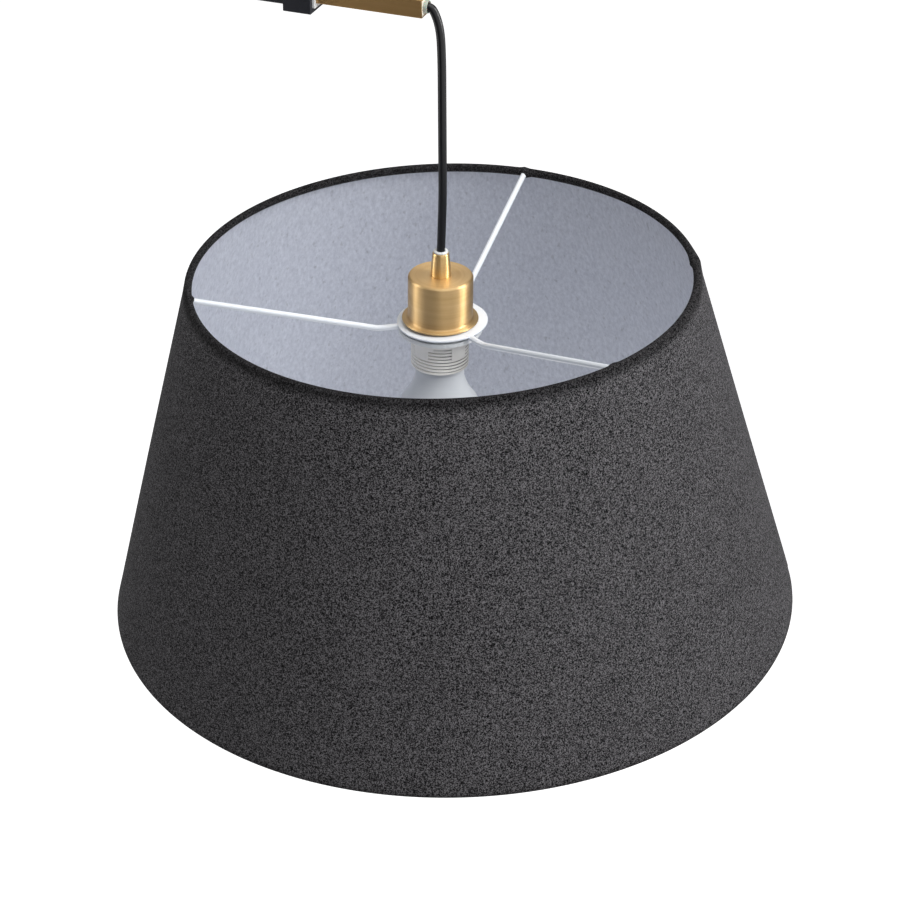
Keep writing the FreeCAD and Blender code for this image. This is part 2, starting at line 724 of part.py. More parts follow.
def bulb_body():
    """The opaque white bulb, hollow: a collar above the cap, a flaring neck and a dome."""
    middle, outer, inner = -113.5, BULB_RADIUS, BULB_RADIUS - 1.2
    slope = math.sqrt(0.5)
    outline = [
        (13.4, -67.2),
        (14.2, -69.5),
        (16.4, -71.5),
        (16.9, -73.5),
        (17.1, -79.6),
        ((20.6, -89.3), (26.6, -98.7)),
        ((29.2, -105.6), (outer, middle)),
        ((outer * slope, middle - outer * slope), (0, middle - outer)),
        (0, middle - inner),
        ((inner * slope, middle - inner * slope), (inner, middle)),
        ((28.0, -106.0), (25.5, -99.3)),
        ((19.5, -89.9), (15.9, -79.9)),
        (15.7, -73.9),
        (15.3, -72.3),
        (13.2, -70.3),
        (12.2, -67.2),
    ]
    return hung(turned(outline))


def leaned(shape):
    """Moves a part of the shade from true to the way it hangs, shifted and leaning on its nut."""
    copy = turned_about(shape, SPIDER_RING_TOP, -SHADE_LEAN)
    copy.translate(sideways(SHADE_SHIFT) + at(0, 0, SHADE_RISE))
    return copy


def sideways(distance):
    """A level move in the plane of the shade's lean."""
    heading = math.radians(LEAN_HEADING)
    return at(math.sin(heading), -math.cos(heading), 0) * distance


def slant():
    """Half the shade's cone angle, from its two radii and its height."""
    return math.atan2(SHADE_BOTTOM_RADIUS - SHADE_TOP_RADIUS, SHADE_HEIGHT)


def wall_point(hoop, inward, down):
    """A point given inward from a hoop's centre, square to the wall, and down along the wall."""
    angle = slant()
    r = hoop[0] - inward * math.cos(angle) + down * math.sin(angle)
    return (r, hoop[1] - inward * math.sin(angle) - down * math.cos(angle))


def hoop_centres():
    """The top and bottom hoops' centres as (radius, height), so that the rolled rims meet the shade's size."""
    roll = HOOP_WIRE_RADIUS + FABRIC
    return [
        (SHADE_TOP_RADIUS - roll, -roll),
        (SHADE_BOTTOM_RADIUS - roll, roll - SHADE_HEIGHT),
    ]


def round_hoop(hoop, radius, degrees):
    """A point on a circle round a hoop's centre, where 0 degrees is inward and 90 is down the wall."""
    turn = math.radians(degrees)
    return wall_point(hoop, radius * math.cos(turn), radius * math.sin(turn))


def turn_in_end(hoop, radius, side):
    """The end of the turned-in fabric: side is 1 at the top hoop, where it runs down, and -1 at the bottom."""
    slope = math.radians(TURN_IN_SLANT)
    inward = radius * math.cos(slope) - TURN_IN * math.sin(slope)
    down = radius * math.sin(slope) + TURN_IN * math.cos(slope)
    return wall_point(hoop, inward, side * down)


def shade_skin():
    """The fabric cone. It rolls over each hoop and turns in against the lining."""
    top, bottom = hoop_centres()
    small, large = HOOP_WIRE_RADIUS, HOOP_WIRE_RADIUS + FABRIC
    slope = TURN_IN_SLANT
    skin = turned(
        [
            round_hoop(top, large, 180),
            round_hoop(bottom, large, 180),
            (round_hoop(bottom, large, 90 - slope / 2), round_hoop(bottom, large, -slope)),
            turn_in_end(bottom, large, -1),
            turn_in_end(bottom, small, -1),
            round_hoop(bottom, small, -slope),
            (round_hoop(bottom, small, 90 - slope / 2), round_hoop(bottom, small, 180)),
            round_hoop(top, small, 180),
            (round_hoop(top, small, 270 + slope / 2), round_hoop(top, small, slope)),
            turn_in_end(top, small, 1),
            turn_in_end(top, large, 1),
            round_hoop(top, large, slope),
            (round_hoop(top, large, 270 + slope / 2), round_hoop(top, large, 180)),
        ]
    )
    skin.rotate(at(0, PENDANT_Y, 0), UP, LAP_ANGLE)
    for path in spider_paths():
        beyond = path[2] + (path[2] - path[1]).normalize()
        skin = skin.cut(rod(SPIDER_WIRE_RADIUS + 0.15, path[1], beyond))
    return leaned(skin)


def shade_lining():
    """The stiff white sheet that the fabric is laminated to."""
    top, bottom = hoop_centres()
    outside = RUNNING - HOOP_WIRE_RADIUS
    inside = outside + LINING
    start = 2.0
    lining = turned(
        [
            wall_point(top, outside, start),
            wall_point(bottom, outside, -start),
            wall_point(bottom, inside, -start),
            wall_point(top, inside, start),
        ]
    )
    return leaned(lining)


def hoop(place):
    centre = hoop_centres()[place]
    ring = Part.makeTorus(centre[0], HOOP_WIRE_RADIUS - FIT, at(0, PENDANT_Y, RIM_Z + centre[1]))
    return leaned(ring)


def spider_paths():
    """Each spoke's route: level from the ring, then up to the top hoop. The ring sits off the shade's centre."""
    top = hoop_centres()[0]
    low = SPIDER_RING_TOP - 2.0
    stops = [(31.0, low), (48.0, low), (top[0] - HOOP_WIRE_RADIUS - 0.4, -2.2)]
    paths = []
    for k in range(3):
        turn = math.radians(SPIDER_FIRST_ANGLE + 120 * k)
        path = [at(r * math.cos(turn), PENDANT_Y + r * math.sin(turn), RIM_Z + z) for r, z in stops]
        paths.append([path[0] + sideways(SPIDER_RING_SHIFT), path[1] + sideways(SPIDER_RING_SHIFT), path[2]])
    return paths


def spider_wires():
    return leaned(group([tube("spoke", path, SPIDER_WIRE_RADIUS, 18.0) for path in spider_paths()]))


def spider_ring():
    top, bottom = SPIDER_RING_TOP, SPIDER_RING_TOP - SPIDER_RING_THICKNESS
    edge = SPIDER_RING_RADIUS
    ring = turned(
        [
            (SPIDER_RING_BORE, top),
            (edge - 0.3, top),
            (edge, top - 0.3),
            (edge, bottom + 0.3),
            (edge - 0.3, bottom),
            (SPIDER_RING_BORE, bottom),
        ]
    )
    ring.translate(sideways(SPIDER_RING_SHIFT))
    for path in spider_paths():
        ring = ring.cut(rod(SPIDER_WIRE_RADIUS + FIT, path[0] + (path[0] - path[1]) * 0.002, path[1]))
    return leaned(ring)


NODES = {
    "wall_bracket": wall_bracket,
    "wall_housing": wall_housing,
    "housing_screws": housing_screws,
    "fork_stiffener": fork_stiffener,
    "pivot_fork": pivot_fork,
    "fork_bolts": fork_bolts,
    "pivot_studs": pivot_studs,
    "inlet_grommet": inlet_grommet,
    "terminal_block": terminal_block,
    "terminal_screws": terminal_screws,
    "earth_screw": earth_screw,
    "supply_flex": supply_flex,
    "switch_leads": switch_leads,
    "switch_body": switch_body,
    "switch_rocker": switch_rocker,
    "arm_head": arm_head,
    "pivot_bushes": pivot_bushes,
    "head_grub_screws": head_grub_screws,
    "arm_tube": arm_tube,
    "end_collar": end_collar,
    "collar_liner": collar_liner,
    "clamp_screw": clamp_screw,
    "arm_lead": arm_lead,
    "coiled_lead": coiled_lead,
    "inner_tube": inner_tube,
    "tip_plug": tip_plug,
    "cord_bushing": cord_bushing,
    "rear_glide": rear_glide,
    "tip_lead": tip_lead,
    "cord_bend": cord_bend,
    "cord_drop": cord_drop,
    "cord_tail": cord_tail,
    "cord_collet": cord_collet,
    "grip_nozzle": grip_nozzle,
    "grip_nut": grip_nut,
    "holder_cup": holder_cup,
    "holder_cap": holder_cap,
    "holder_skirt": holder_skirt,
    "screw_shell": screw_shell,
    "centre_contact": centre_contact,
    "shade_nut": shade_nut,
    "bulb_insulator": bulb_insulator,
    "bulb_contact": bulb_contact,
    "bulb_cap": bulb_cap,
    "bulb_body": bulb_body,
    "spider_ring": spider_ring,
    "spider_wires": spider_wires,
    "top_hoop": lambda: hoop(0),
    "bottom_hoop": lambda: hoop(1),
    "shade_lining": shade_lining,
    "shade_skin": shade_skin,
}


os.makedirs("parts", exist_ok=True)
for name, make in NODES.items():
    shape = make()
    if not shape.isValid() or shape.Volume <= 0:
        print(f"{name} isn't a valid solid")
    shape.exportStep(f"parts/{name}.step")
    print(f"{name}: {len(shape.Solids)} solid, {shape.Volume / 1000:.2f} cm3")
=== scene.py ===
# %% [markdown]
# # A wall light with a hanging drum shade
# The light is a small square tube that slides in a larger one, a short cord, a brass cup with a lamp
# holder, and a tapered shade on a three-spoke spider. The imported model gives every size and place, and
# this lesson dresses it: each piece gets its fine shape and the finish of the real thing.

import json
import math
from contextlib import contextmanager

import bmesh
import bpy
import numpy as np
from mathutils import Matrix, Vector


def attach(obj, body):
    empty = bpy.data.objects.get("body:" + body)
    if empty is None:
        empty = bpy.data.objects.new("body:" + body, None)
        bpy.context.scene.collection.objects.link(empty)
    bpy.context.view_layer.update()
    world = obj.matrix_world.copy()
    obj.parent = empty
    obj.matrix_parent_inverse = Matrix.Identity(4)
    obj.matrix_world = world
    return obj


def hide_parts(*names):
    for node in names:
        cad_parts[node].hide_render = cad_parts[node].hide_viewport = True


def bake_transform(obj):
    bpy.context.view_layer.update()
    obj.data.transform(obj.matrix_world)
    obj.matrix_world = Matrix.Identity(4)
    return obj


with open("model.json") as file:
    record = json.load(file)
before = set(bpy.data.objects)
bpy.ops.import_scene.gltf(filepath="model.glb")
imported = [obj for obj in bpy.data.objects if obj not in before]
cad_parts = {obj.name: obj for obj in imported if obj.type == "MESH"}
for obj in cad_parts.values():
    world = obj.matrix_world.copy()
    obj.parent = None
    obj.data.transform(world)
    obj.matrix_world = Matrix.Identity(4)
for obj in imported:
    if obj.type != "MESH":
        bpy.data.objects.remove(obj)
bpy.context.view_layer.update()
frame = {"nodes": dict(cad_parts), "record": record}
MM = 0.001
BODY_OF = {n: b for b, nodes in frame["record"]["behaviour"]["bodies"].items() for n in nodes}
SLOT_OF = {part["node"]: part["material_slot"] for part in frame["record"]["subparts"]}

# %% [markdown]
# ## The camera
# The photograph looks down on the shade, from its front left and from about one and three quarter metres.
# A camera could be set by eye, but the two rims are ellipses whose shape gives the direction exactly.
# The pitch, the small yaw and roll, and the long lens all come from them.

# %% Place the camera
PENDANT_Y, RIM_Z = -620.0, -190.1
VIEW_HEADING = math.radians(-68.2)
CAMERA_BACK, CAMERA_UP = 1.5466, 0.7986
VIEW_CENTRE = Vector((0, (PENDANT_Y - 1.4) * MM, RIM_Z * MM))
PITCH, YAW, BANK = (math.radians(a) for a in (31.278, -0.1605, 0.2119))
FOCAL_PIXELS, IMAGE_PIXELS = 2554.3, 900
AWAY = Vector((-math.sin(VIEW_HEADING), math.cos(VIEW_HEADING), 0))
RIGHT = Vector((math.cos(VIEW_HEADING), math.sin(VIEW_HEADING), 0))


def new_object(name, data):
    made = bpy.data.objects.new(name, data)
    bpy.context.collection.objects.link(made)
    return made


lens = bpy.data.cameras.new("camera")
lens.sensor_width = 36.0
lens.lens = FOCAL_PIXELS * lens.sensor_width / IMAGE_PIXELS
lens.clip_end = 50
camera = new_object("camera", lens)
turn = Matrix.Rotation(VIEW_HEADING + YAW, 4, "Z")
tilt = Matrix.Rotation(math.pi / 2 - PITCH, 4, "X")
bank = Matrix.Rotation(-BANK, 4, "Z")
place = Matrix.Translation(VIEW_CENTRE - AWAY * CAMERA_BACK + Vector((0, 0, CAMERA_UP)))
camera.matrix_world = place @ turn @ tilt @ bank
bpy.context.scene.camera = camera
print("camera at", [round(x, 3) for x in camera.matrix_world.translation])

# %% [markdown]
# ## Materials from real finishes
# Every finish starts as a Principled shader. Colours are written as sRGB hex values, as a paint chart has
# them, and one function turns them to the linear values that the renderer works in. One more function
# adds a node with its settings and its links, for shaders and shapes alike.


# %% Helpers for every node tree
def linear(code):
    """An sRGB hex colour as linear red, green, blue and alpha."""
    parts = [int(code[k : k + 2], 16) / 255 for k in (1, 3, 5)]
    return [c / 12.92 if c <= 0.04045 else ((c + 0.055) / 1.055) ** 2.4 for c in parts] + [1.0]


def fill(node, sockets):
    """Gives sockets, by name or number, a value or a link. A node stands for its first output."""
    for name, value in sockets.items():
        if isinstance(value, bpy.types.Node):
            value = value.outputs[0]
        if isinstance(value, bpy.types.NodeSocket):
            node.id_data.links.new(value, node.inputs[name])
        else:
            node.inputs[name].default_value = value
    return node


def add(tree, kind, sockets=None, **settings):
    """Adds a node with its settings, and fills its sockets."""
    node = tree.nodes.new(kind)
    for name, value in settings.items():
        setattr(node, name, value)
    return fill(node, sockets or {})


def finish(name, colour, roughness, metallic=0.0, **more):
    """A material, its tree and its shader. more holds other constants, with underscores for spaces."""
    material = bpy.data.materials.new(name)
    material.use_nodes = True
    tree = material.node_tree
    values = {"Base Color": linear(colour), "Roughness": roughness, "Metallic": metallic}
    values.update({key.replace("_", " "): value for key, value in more.items()})
    print("finish:", name)
    return material, tree, fill(tree.nodes["Principled BSDF"], values)


# %% [markdown]
# ## Brass, drawn, spun and turned
# The small tube is drawn and brushed along its length. The cup is spun and brushed on the lathe and its
# top is faced, and the nozzle is turned from bar and brighter. Their scratches run round them, so light
# stretches across the scratches into the soft upright bands of the photograph. Real scratches are a tenth
# of a millimetre apart, too fine to show, so they are drawn about three times coarser. A thin satin
# lacquer keeps the metal warm.

# %% Brass finishes
PENDANT_AXIS = Vector((0, PENDANT_Y * MM, 0))


def brushed_brass(name, spun, tones, smooth, rough, stretch):
    """Brass with scratches round the pendant's axis if spun, or else along the arm."""
    material, tree, shader = finish(
        name, tones[1], rough, 1.0, Anisotropic=stretch, Coat_Weight=0.4, Coat_Roughness=0.3
    )
    place = add(tree, "ShaderNodeTexCoord").outputs["Object"]
    if spun:
        centred = add(tree, "ShaderNodeVectorMath", {0: place, 1: PENDANT_AXIS}, operation="SUBTRACT")
        parts = add(tree, "ShaderNodeSeparateXYZ", {0: centred}).outputs
        flat = add(tree, "ShaderNodeCombineXYZ", {0: parts[0], 1: parts[1]})
        radius = add(tree, "ShaderNodeVectorMath", {0: flat}, operation="LENGTH").outputs["Value"]
        down = add(tree, "ShaderNodeMath", {0: radius, 1: parts[2]}, operation="SUBTRACT")
        heading = add(tree, "ShaderNodeVectorMath", {0: flat}, operation="NORMALIZE")
        slow = add(tree, "ShaderNodeVectorMath", {0: heading, "Scale": 0.0012}, operation="SCALE")
        along = add(tree, "ShaderNodeVectorMath", {0: slow, 1: add(tree, "ShaderNodeCombineXYZ", {2: down})})
        groove = add(tree, "ShaderNodeVectorMath", {0: (0, 0, 1), 1: flat}, operation="CROSS_PRODUCT")
    else:
        along = add(tree, "ShaderNodeMapping", {"Vector": place, "Scale": (1.0, 0.012, 1.0)})
        groove = add(tree, "ShaderNodeCombineXYZ", {1: 1.0})
    groove = add(
        tree, "ShaderNodeVectorTransform", {0: groove},
        vector_type="VECTOR", convert_from="OBJECT", convert_to="WORLD",
    )
    facing = add(tree, "ShaderNodeNewGeometry").outputs["Normal"]
    across = add(tree, "ShaderNodeVectorMath", {0: facing, 1: groove}, operation="CROSS_PRODUCT")
    scratches = add(
        tree, "ShaderNodeTexNoise", {"Vector": along, "Scale": 2600.0, "Detail": 3.0, "Roughness": 0.65}
    )
    bands = add(tree, "ShaderNodeTexNoise", {"Vector": along, "Scale": 420.0, "Detail": 2.0})
    tone = add(tree, "ShaderNodeMix", {0: bands, 6: linear(tones[0]), 7: linear(tones[1])}, data_type="RGBA")
    polish = add(tree, "ShaderNodeMapRange", {"Value": scratches, "To Min": smooth, "To Max": rough})
    bump = add(tree, "ShaderNodeBump", {"Height": scratches, "Strength": 0.12, "Distance": 0.0001})
    fill(shader, {"Tangent": across, "Roughness": polish, "Base Color": tone.outputs[2], "Normal": bump})
    return material


BRASS_DRAWN = brushed_brass("drawn_brushed_brass", False, ("#a88452", "#bd9a68"), 0.44, 0.56, 0.5)
BRASS_SPUN = brushed_brass("spun_brushed_brass", True, ("#cba56b", "#e2c38f"), 0.44, 0.56, 0.92)
BRASS_FACED = brushed_brass("faced_brass", True, ("#cba56b", "#e2c38f"), 0.46, 0.56, 0.45)
BRASS_TURNED = brushed_brass("turned_bright_brass", True, ("#d2ac6c", "#eccd95"), 0.36, 0.44, 0.92)

# %% [markdown]
# ## Black powder coat
# The large tube, its collar and the wall unit are steel or zinc with a baked black powder coat. It flows
# almost smooth, with a faint orange peel about a millimetre across, and has a soft sheen.


# %% Powder coat
def powder_coat():
    material, tree, shader = finish("black_powder_coat", "#14161f", 0.42)
    place = add(tree, "ShaderNodeTexCoord").outputs["Object"]
    peel = add(tree, "ShaderNodeTexNoise", {"Vector": place, "Scale": 1100.0, "Detail": 2.0})
    bump = add(tree, "ShaderNodeBump", {"Height": peel, "Strength": 0.12, "Distance": 0.0002})
    sheen = add(tree, "ShaderNodeMapRange", {"Value": peel, "To Min": 0.36, "To Max": 0.5})
    fill(shader, {"Normal": bump, "Roughness": sheen})
    return material


POWDER = powder_coat()

# %% [markdown]
# ## Plastics, enamel, rubber and plated steel
# The remaining finishes are plain: moulded plastics with a faint grain, glossy white enamel on the spider,
# PVC on the cord, zinc on the hidden steel and nickel on the contacts. Each has a slight unevenness from
# how it was made, at its real size, because a surface with none looks like a drawing. The holder's thread
# has painted shade in its grooves: its plastic is painted darker below a radius from the holder's axis.


# %% Plain finishes
def uneven(name, colour, other, roughness, grain_mm, depth_mm, metallic=0.0, painted_shade=None, **more):
    """A finish that drifts between two colours, with a fine bump. Its optional function adds nodes that paint it
    darker in places, as painted shade.
    """
    material, tree, shader = finish(name, colour, roughness, metallic, **more)
    place = add(tree, "ShaderNodeTexCoord").outputs["Object"]
    drift = add(tree, "ShaderNodeTexNoise", {"Vector": place, "Scale": 45.0, "Detail": 3.0})
    tone = add(tree, "ShaderNodeMix", {0: drift, 6: linear(colour), 7: linear(other)}, data_type="RGBA")
    tone = tone.outputs[2]
    if painted_shade:
        tone = add(tree, "ShaderNodeVectorMath", {0: tone, "Scale": painted_shade(tree, place)}, operation="SCALE")
    grain = add(tree, "ShaderNodeTexNoise", {"Vector": place, "Scale": 1000.0 / grain_mm, "Detail": 2.0})
    bump = add(tree, "ShaderNodeBump", {"Height": grain, "Strength": 0.5, "Distance": depth_mm * MM})
    fill(shader, {"Base Color": tone, "Normal": bump})
    return material


# Painted shade: the thread's plastic is painted darker below a radius from the holder's axis, as the shade that
# falls in its grooves.
def painted_groove_shade(tree, place):
    centred = add(tree, "ShaderNodeVectorMath", {0: place, 1: PENDANT_AXIS}, operation="SUBTRACT")
    flat = add(tree, "ShaderNodeVectorMath", {0: centred, 1: (1.0, 1.0, 0.0)}, operation="MULTIPLY")
    radius = add(tree, "ShaderNodeVectorMath", {0: flat}, operation="LENGTH").outputs["Value"]
    return add(tree, "ShaderNodeMapRange", {"Value": radius, "From Min": 0.0186, "From Max": 0.0198, "To Min": 0.2})


ENAMEL = uneven("white_enamel", "#eaeff6", "#f1f5fa", 0.35, 4.0, 0.05, Coat_Weight=0.2)
NUT_PLASTIC = uneven("moulded_white_polyamide", "#e2e4e4", "#eaecec", 0.35, 1.0, 0.02)
# The skirt's plastic carries painted shade in the grooves of its thread.
SKIRT_PLASTIC = uneven("moulded_white_polyester", "#f4f1ea", "#faf8f3", 0.32, 1000 / 830, 0.02, painted_shade=painted_groove_shade)
IVORY_PLASTIC = uneven("moulded_ivory_acetal", "#ece4d2", "#f3ecdc", 0.35, 1.0, 0.02)
BUSH_NYLON = uneven(
    "natural_nylon", "#a3aaa0", "#b4bab0", 0.25, 1.0, 0.01, Subsurface_Weight=0.3, Subsurface_Scale=0.001
)
OPAL = uneven("opal_polycarbonate", "#d0d3d6", "#d7dadc", 0.3, 2.0, 0.01)
PVC = uneven("black_pvc", "#0b0b0e", "#101013", 0.34, 2.5, 0.03, Specular_IOR_Level=0.4)
SWITCH_PLASTIC = uneven("moulded_black_polyamide", "#17171a", "#1d1d20", 0.4, 0.7, 0.03)
ZINC = uneven("zinc_plated_steel", "#b4b8bc", "#a9adb2", 0.34, 0.8, 0.02, 1.0)
NICKEL = uneven("nickel_plated_brass", "#c9c4ba", "#bfbab0", 0.25, 1.0, 0.01, 1.0)
BRONZE = uneven("sintered_bronze", "#9c7c50", "#8f7048", 0.42, 0.5, 0.03, 1.0)

# %% [markdown]
# ## The fabric and its lining
# The cover is a plain weave of charcoal yarns, some lighter and some darker, which the eye takes as a fine
# grey speckle. The yarns are drawn 0.6 mm apart. The pattern follows a map of the flat cloth, so the
# threads run straight on the cut piece and slant round the cone as they do on the real shade. The cloth is
# doubled round the hoops, and both rims carry painted shade, darker towards the edge where the rolls turn
# from the light, with a painted shadow line where its ends lap over the upper one. It is laminated to a
# stiff white sheet whose inner side has a paper-like mottle and a few darker fibres.

# %% Fabric
FIRST_SLANT, LAST_SLANT = 669.4, 937.2
YARN, LAP_SHADOW_WIDTH = 0.0006, 0.0015


def woven_charcoal():
    material, tree, shader = finish("woven_charcoal_cotton", "#3b3a3c", 0.92, Specular_IOR_Level=0.08)
    cloth = add(tree, "ShaderNodeUVMap", uv_map="cloth")
    crossing = add(tree, "ShaderNodeVectorMath", {0: cloth, 1: (YARN, YARN, 1.0)}, operation="SNAP")
    speck = add(tree, "ShaderNodeTexWhiteNoise", {"Vector": crossing}, noise_dimensions="2D")
    warp, weft = (
        add(tree, "ShaderNodeTexNoise", {"Vector": along, "Scale": 1700.0, "Detail": 1.0})
        for along in (
            add(tree, "ShaderNodeMapping", {"Vector": cloth, "Scale": stretch})
            for stretch in ((1.0, 0.2, 1.0), (0.2, 1.0, 1.0))
        )
    )
    yarns = add(tree, "ShaderNodeMath", {0: warp, 1: weft})
    cloud = add(tree, "ShaderNodeTexNoise", {"Vector": cloth, "Scale": 22.0, "Detail": 4.0, "Roughness": 0.65})
    tone = speck
    for source, low, high, depth in ((yarns, 0.7, 1.3, 0.25), (cloud, 0.0, 1.0, 0.08)):
        span = {"Value": source, "From Min": low, "From Max": high, "To Min": -depth, "To Max": depth}
        tone = add(tree, "ShaderNodeMath", {0: tone, 1: add(tree, "ShaderNodeMapRange", span)})
    tone = add(tree, "ShaderNodeMath", {0: tone, 1: 0.0}, operation="MAXIMUM")
    tone = add(tree, "ShaderNodeMath", {0: tone, 1: 1.7}, operation="POWER")
    colour = add(tree, "ShaderNodeMix", {0: tone, 6: linear("#010102"), 7: linear("#737174")}, data_type="RGBA")
    slant = add(tree, "ShaderNodeVectorMath", {0: cloth}, operation="LENGTH").outputs["Value"]
    # Painted shadow: a dark line along the lap's edge on the turned-in top rim, where the overlapping cloth would
    # cast its shadow.
    edge = add(tree, "ShaderNodeSeparateXYZ", {0: cloth}).outputs[1]
    on_edge = add(tree, "ShaderNodeMath", {0: edge, 1: LAP_SHADOW_WIDTH}, operation="LESS_THAN")
    on_rim = add(tree, "ShaderNodeMath", {0: slant, 1: (FIRST_SLANT + 6.0) * MM}, operation="LESS_THAN")
    seam_shadow_mask = add(tree, "ShaderNodeMath", {0: on_edge, 1: on_rim}, operation="MULTIPLY")
    shade = add(tree, "ShaderNodeMapRange", {"Value": seam_shadow_mask, "To Min": 1.0, "To Max": 0.1})
    # Painted shade: the cloth is painted darker in bands towards both rims, where the rolls turn away from the
    # light.
    for near, far, dark, light in (
        (FIRST_SLANT + 1.0, FIRST_SLANT + 9.0, 0.32, 1.0),
        (LAST_SLANT - 8.0, LAST_SLANT - 1.0, 1.0, 0.5),
    ):
        span = {"Value": slant, "From Min": near * MM, "From Max": far * MM, "To Min": dark, "To Max": light}
        rim = add(tree, "ShaderNodeMapRange", span, interpolation_type="SMOOTHSTEP")
        shade = add(tree, "ShaderNodeMath", {0: shade, 1: rim}, operation="MULTIPLY")
    fibres_and_painted_shade = add(tree, "ShaderNodeVectorMath", {0: colour.outputs[2], "Scale": shade}, operation="SCALE")
    height = add(tree, "ShaderNodeMath", {0: speck, 1: yarns})
    bump = add(tree, "ShaderNodeBump", {"Height": height, "Strength": 0.4, "Distance": 0.00012})
    fill(shader, {"Base Color": fibres_and_painted_shade, "Normal": bump})
    return material


FABRIC = woven_charcoal()


# %% Lining
def paper_lining():
    material, tree, shader = finish("matt_white_styrene", "#c0c4d0", 0.75, Specular_IOR_Level=0.2)
    place = add(tree, "ShaderNodeTexCoord").outputs["Object"]
    upright = add(tree, "ShaderNodeMapping", {"Vector": place, "Scale": (1.0, 1.0, 0.5)})
    mottle = add(
        tree, "ShaderNodeTexNoise", {"Vector": upright, "Scale": 420.0, "Detail": 3.0, "Roughness": 0.7}
    )
    wide = add(tree, "ShaderNodeMapRange", {"Value": mottle, "From Min": 0.3, "From Max": 0.7})
    tone = add(tree, "ShaderNodeMix", {0: wide, 6: linear("#b3b7c4"), 7: linear("#cdd1dc")}, data_type="RGBA")
    fibres = add(tree, "ShaderNodeTexNoise", {"Vector": upright, "Scale": 330.0, "Detail": 1.0})
    span = {"Value": fibres, "From Min": 0.66, "From Max": 0.76, "To Min": 1.0, "To Max": 0.8}
    dark = add(tree, "ShaderNodeMapRange", span)
    fibres_and_painted_shade = add(tree, "ShaderNodeVectorMath", {0: tone.outputs[2], "Scale": dark}, operation="SCALE")
    bump = add(tree, "ShaderNodeBump", {"Height": mottle, "Strength": 0.4, "Distance": 0.0001})
    fill(shader, {"Base Color": fibres_and_painted_shade, "Normal": bump})
    return material


LINING = paper_lining()

# %% [markdown]
# ## Shapes from Geometry Nodes
# Most of the pendant was turned on a lathe or could have been, so its pieces are outlines swept round an
# axis. Blender's Screw modifier or a spin would do it, but a node tree keeps the sizes as named inputs, and
# the same tree serves every turned piece. The object starts as the outline, drawn as a chain of edges. The
# tree sweeps it round a circle, joins the points that meet on the axis and sets the material. The result is
# then baked to a plain mesh.


# %% Helpers for node trees
def shape_tree(name, sizes):
    """A tree with a geometry in and out, named sizes and a material. Returns it and its inputs."""
    tree = bpy.data.node_groups.new(name, "GeometryNodeTree")
    kinds = {int: "NodeSocketInt", float: "NodeSocketFloat"}
    tree.interface.new_socket("Geometry", in_out="INPUT", socket_type="NodeSocketGeometry")
    for label, value in sizes.items():
        socket = tree.interface.new_socket(label, in_out="INPUT", socket_type=kinds[type(value)])
        socket.default_value = value
    tree.interface.new_socket("Material", in_out="INPUT", socket_type="NodeSocketMaterial")
    tree.interface.new_socket("Geometry", in_out="OUTPUT", socket_type="NodeSocketGeometry")
    return tree, add(tree, "NodeGroupInput").outputs


def end_tree(tree, given, geometry):
    """Ends a tree as the export needs it: instances made real and the material set."""
    real = add(tree, "GeometryNodeRealizeInstances", {"Geometry": geometry})
    painted = add(tree, "GeometryNodeSetMaterial", {"Geometry": real, "Material": given["Material"]})
    add(tree, "NodeGroupOutput", {"Geometry": painted})
    print("tree:", tree.name)


def plain_mesh(made):
    """The mesh that an object's curve or modifiers give."""
    return bpy.data.meshes.new_from_object(made.evaluated_get(bpy.context.evaluated_depsgraph_get()))


def applied(made):
    """The object as a plain mesh, with its modifiers applied."""
    mesh = plain_mesh(made)
    made.modifiers.clear()
    made.data = mesh
    return made


def baked(name, tree, material, points=(), edges=(), **sizes):
    """Runs a tree on a chain of points."""
    start = bpy.data.meshes.new(name + "_outline")
    start.from_pydata([tuple(p) for p in points], edges, [])
    made = new_object(name, start)
    modifier = made.modifiers.new("shape", "NODES")
    modifier.node_group = tree
    values = {"Material": material, **sizes}
    for item in tree.interface.items_tree:
        if item.in_out == "INPUT" and item.name in values:
            modifier[item.identifier] = values[item.name]
    applied(made).data.name = name
    bpy.data.meshes.remove(start)
    return made


# %% Helpers for meshes
@contextmanager
def reworked(mesh):
    """An editable form of a mesh, written back at the end."""
    work = bmesh.new()
    work.from_mesh(mesh)
    yield work
    work.to_mesh(mesh)
    work.free()


def clean(made, sharp_degrees=35.0, merge=1e-6, recalculate=True):
    """Joins doubled points, turns faces outward, and shades smooth between sharp edges."""
    with reworked(made.data) as work:
        bmesh.ops.remove_doubles(work, verts=work.verts, dist=merge)
        bmesh.ops.dissolve_degenerate(work, edges=work.edges, dist=merge / 2)
        if recalculate:
            bmesh.ops.recalc_face_normals(work, faces=work.faces)
    made.data.shade_smooth()
    made.data.set_sharp_from_angle(angle=math.radians(sharp_degrees))
    return made


def paint(mesh, material):
    mesh.materials.clear()
    mesh.materials.append(material)


def stand_for(made, *nodes):
    """The piece stands for CAD nodes, which are hidden."""
    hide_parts(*nodes)
    print(f"{made.name}: {len(made.data.polygons)} faces, for", " and ".join(nodes))


def settle(made, node):
    """The piece rides with the CAD node that it stands for."""
    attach(made, BODY_OF[node])
    stand_for(made, node)


# %% The lathe
PATH_RADIUS = 0.05
lathe, given = shape_tree("lathe", {"Segments": 96})
circle = add(lathe, "GeometryNodeCurvePrimitiveCircle", {"Resolution": given["Segments"], "Radius": PATH_RADIUS})
outline = add(lathe, "GeometryNodeMeshToCurve", {"Mesh": given["Geometry"]})
swept = add(lathe, "GeometryNodeCurveToMesh", {"Curve": circle, "Profile Curve": outline})
end_tree(lathe, given, add(lathe, "GeometryNodeMergeByDistance", {"Geometry": swept, "Distance": 1e-6}))


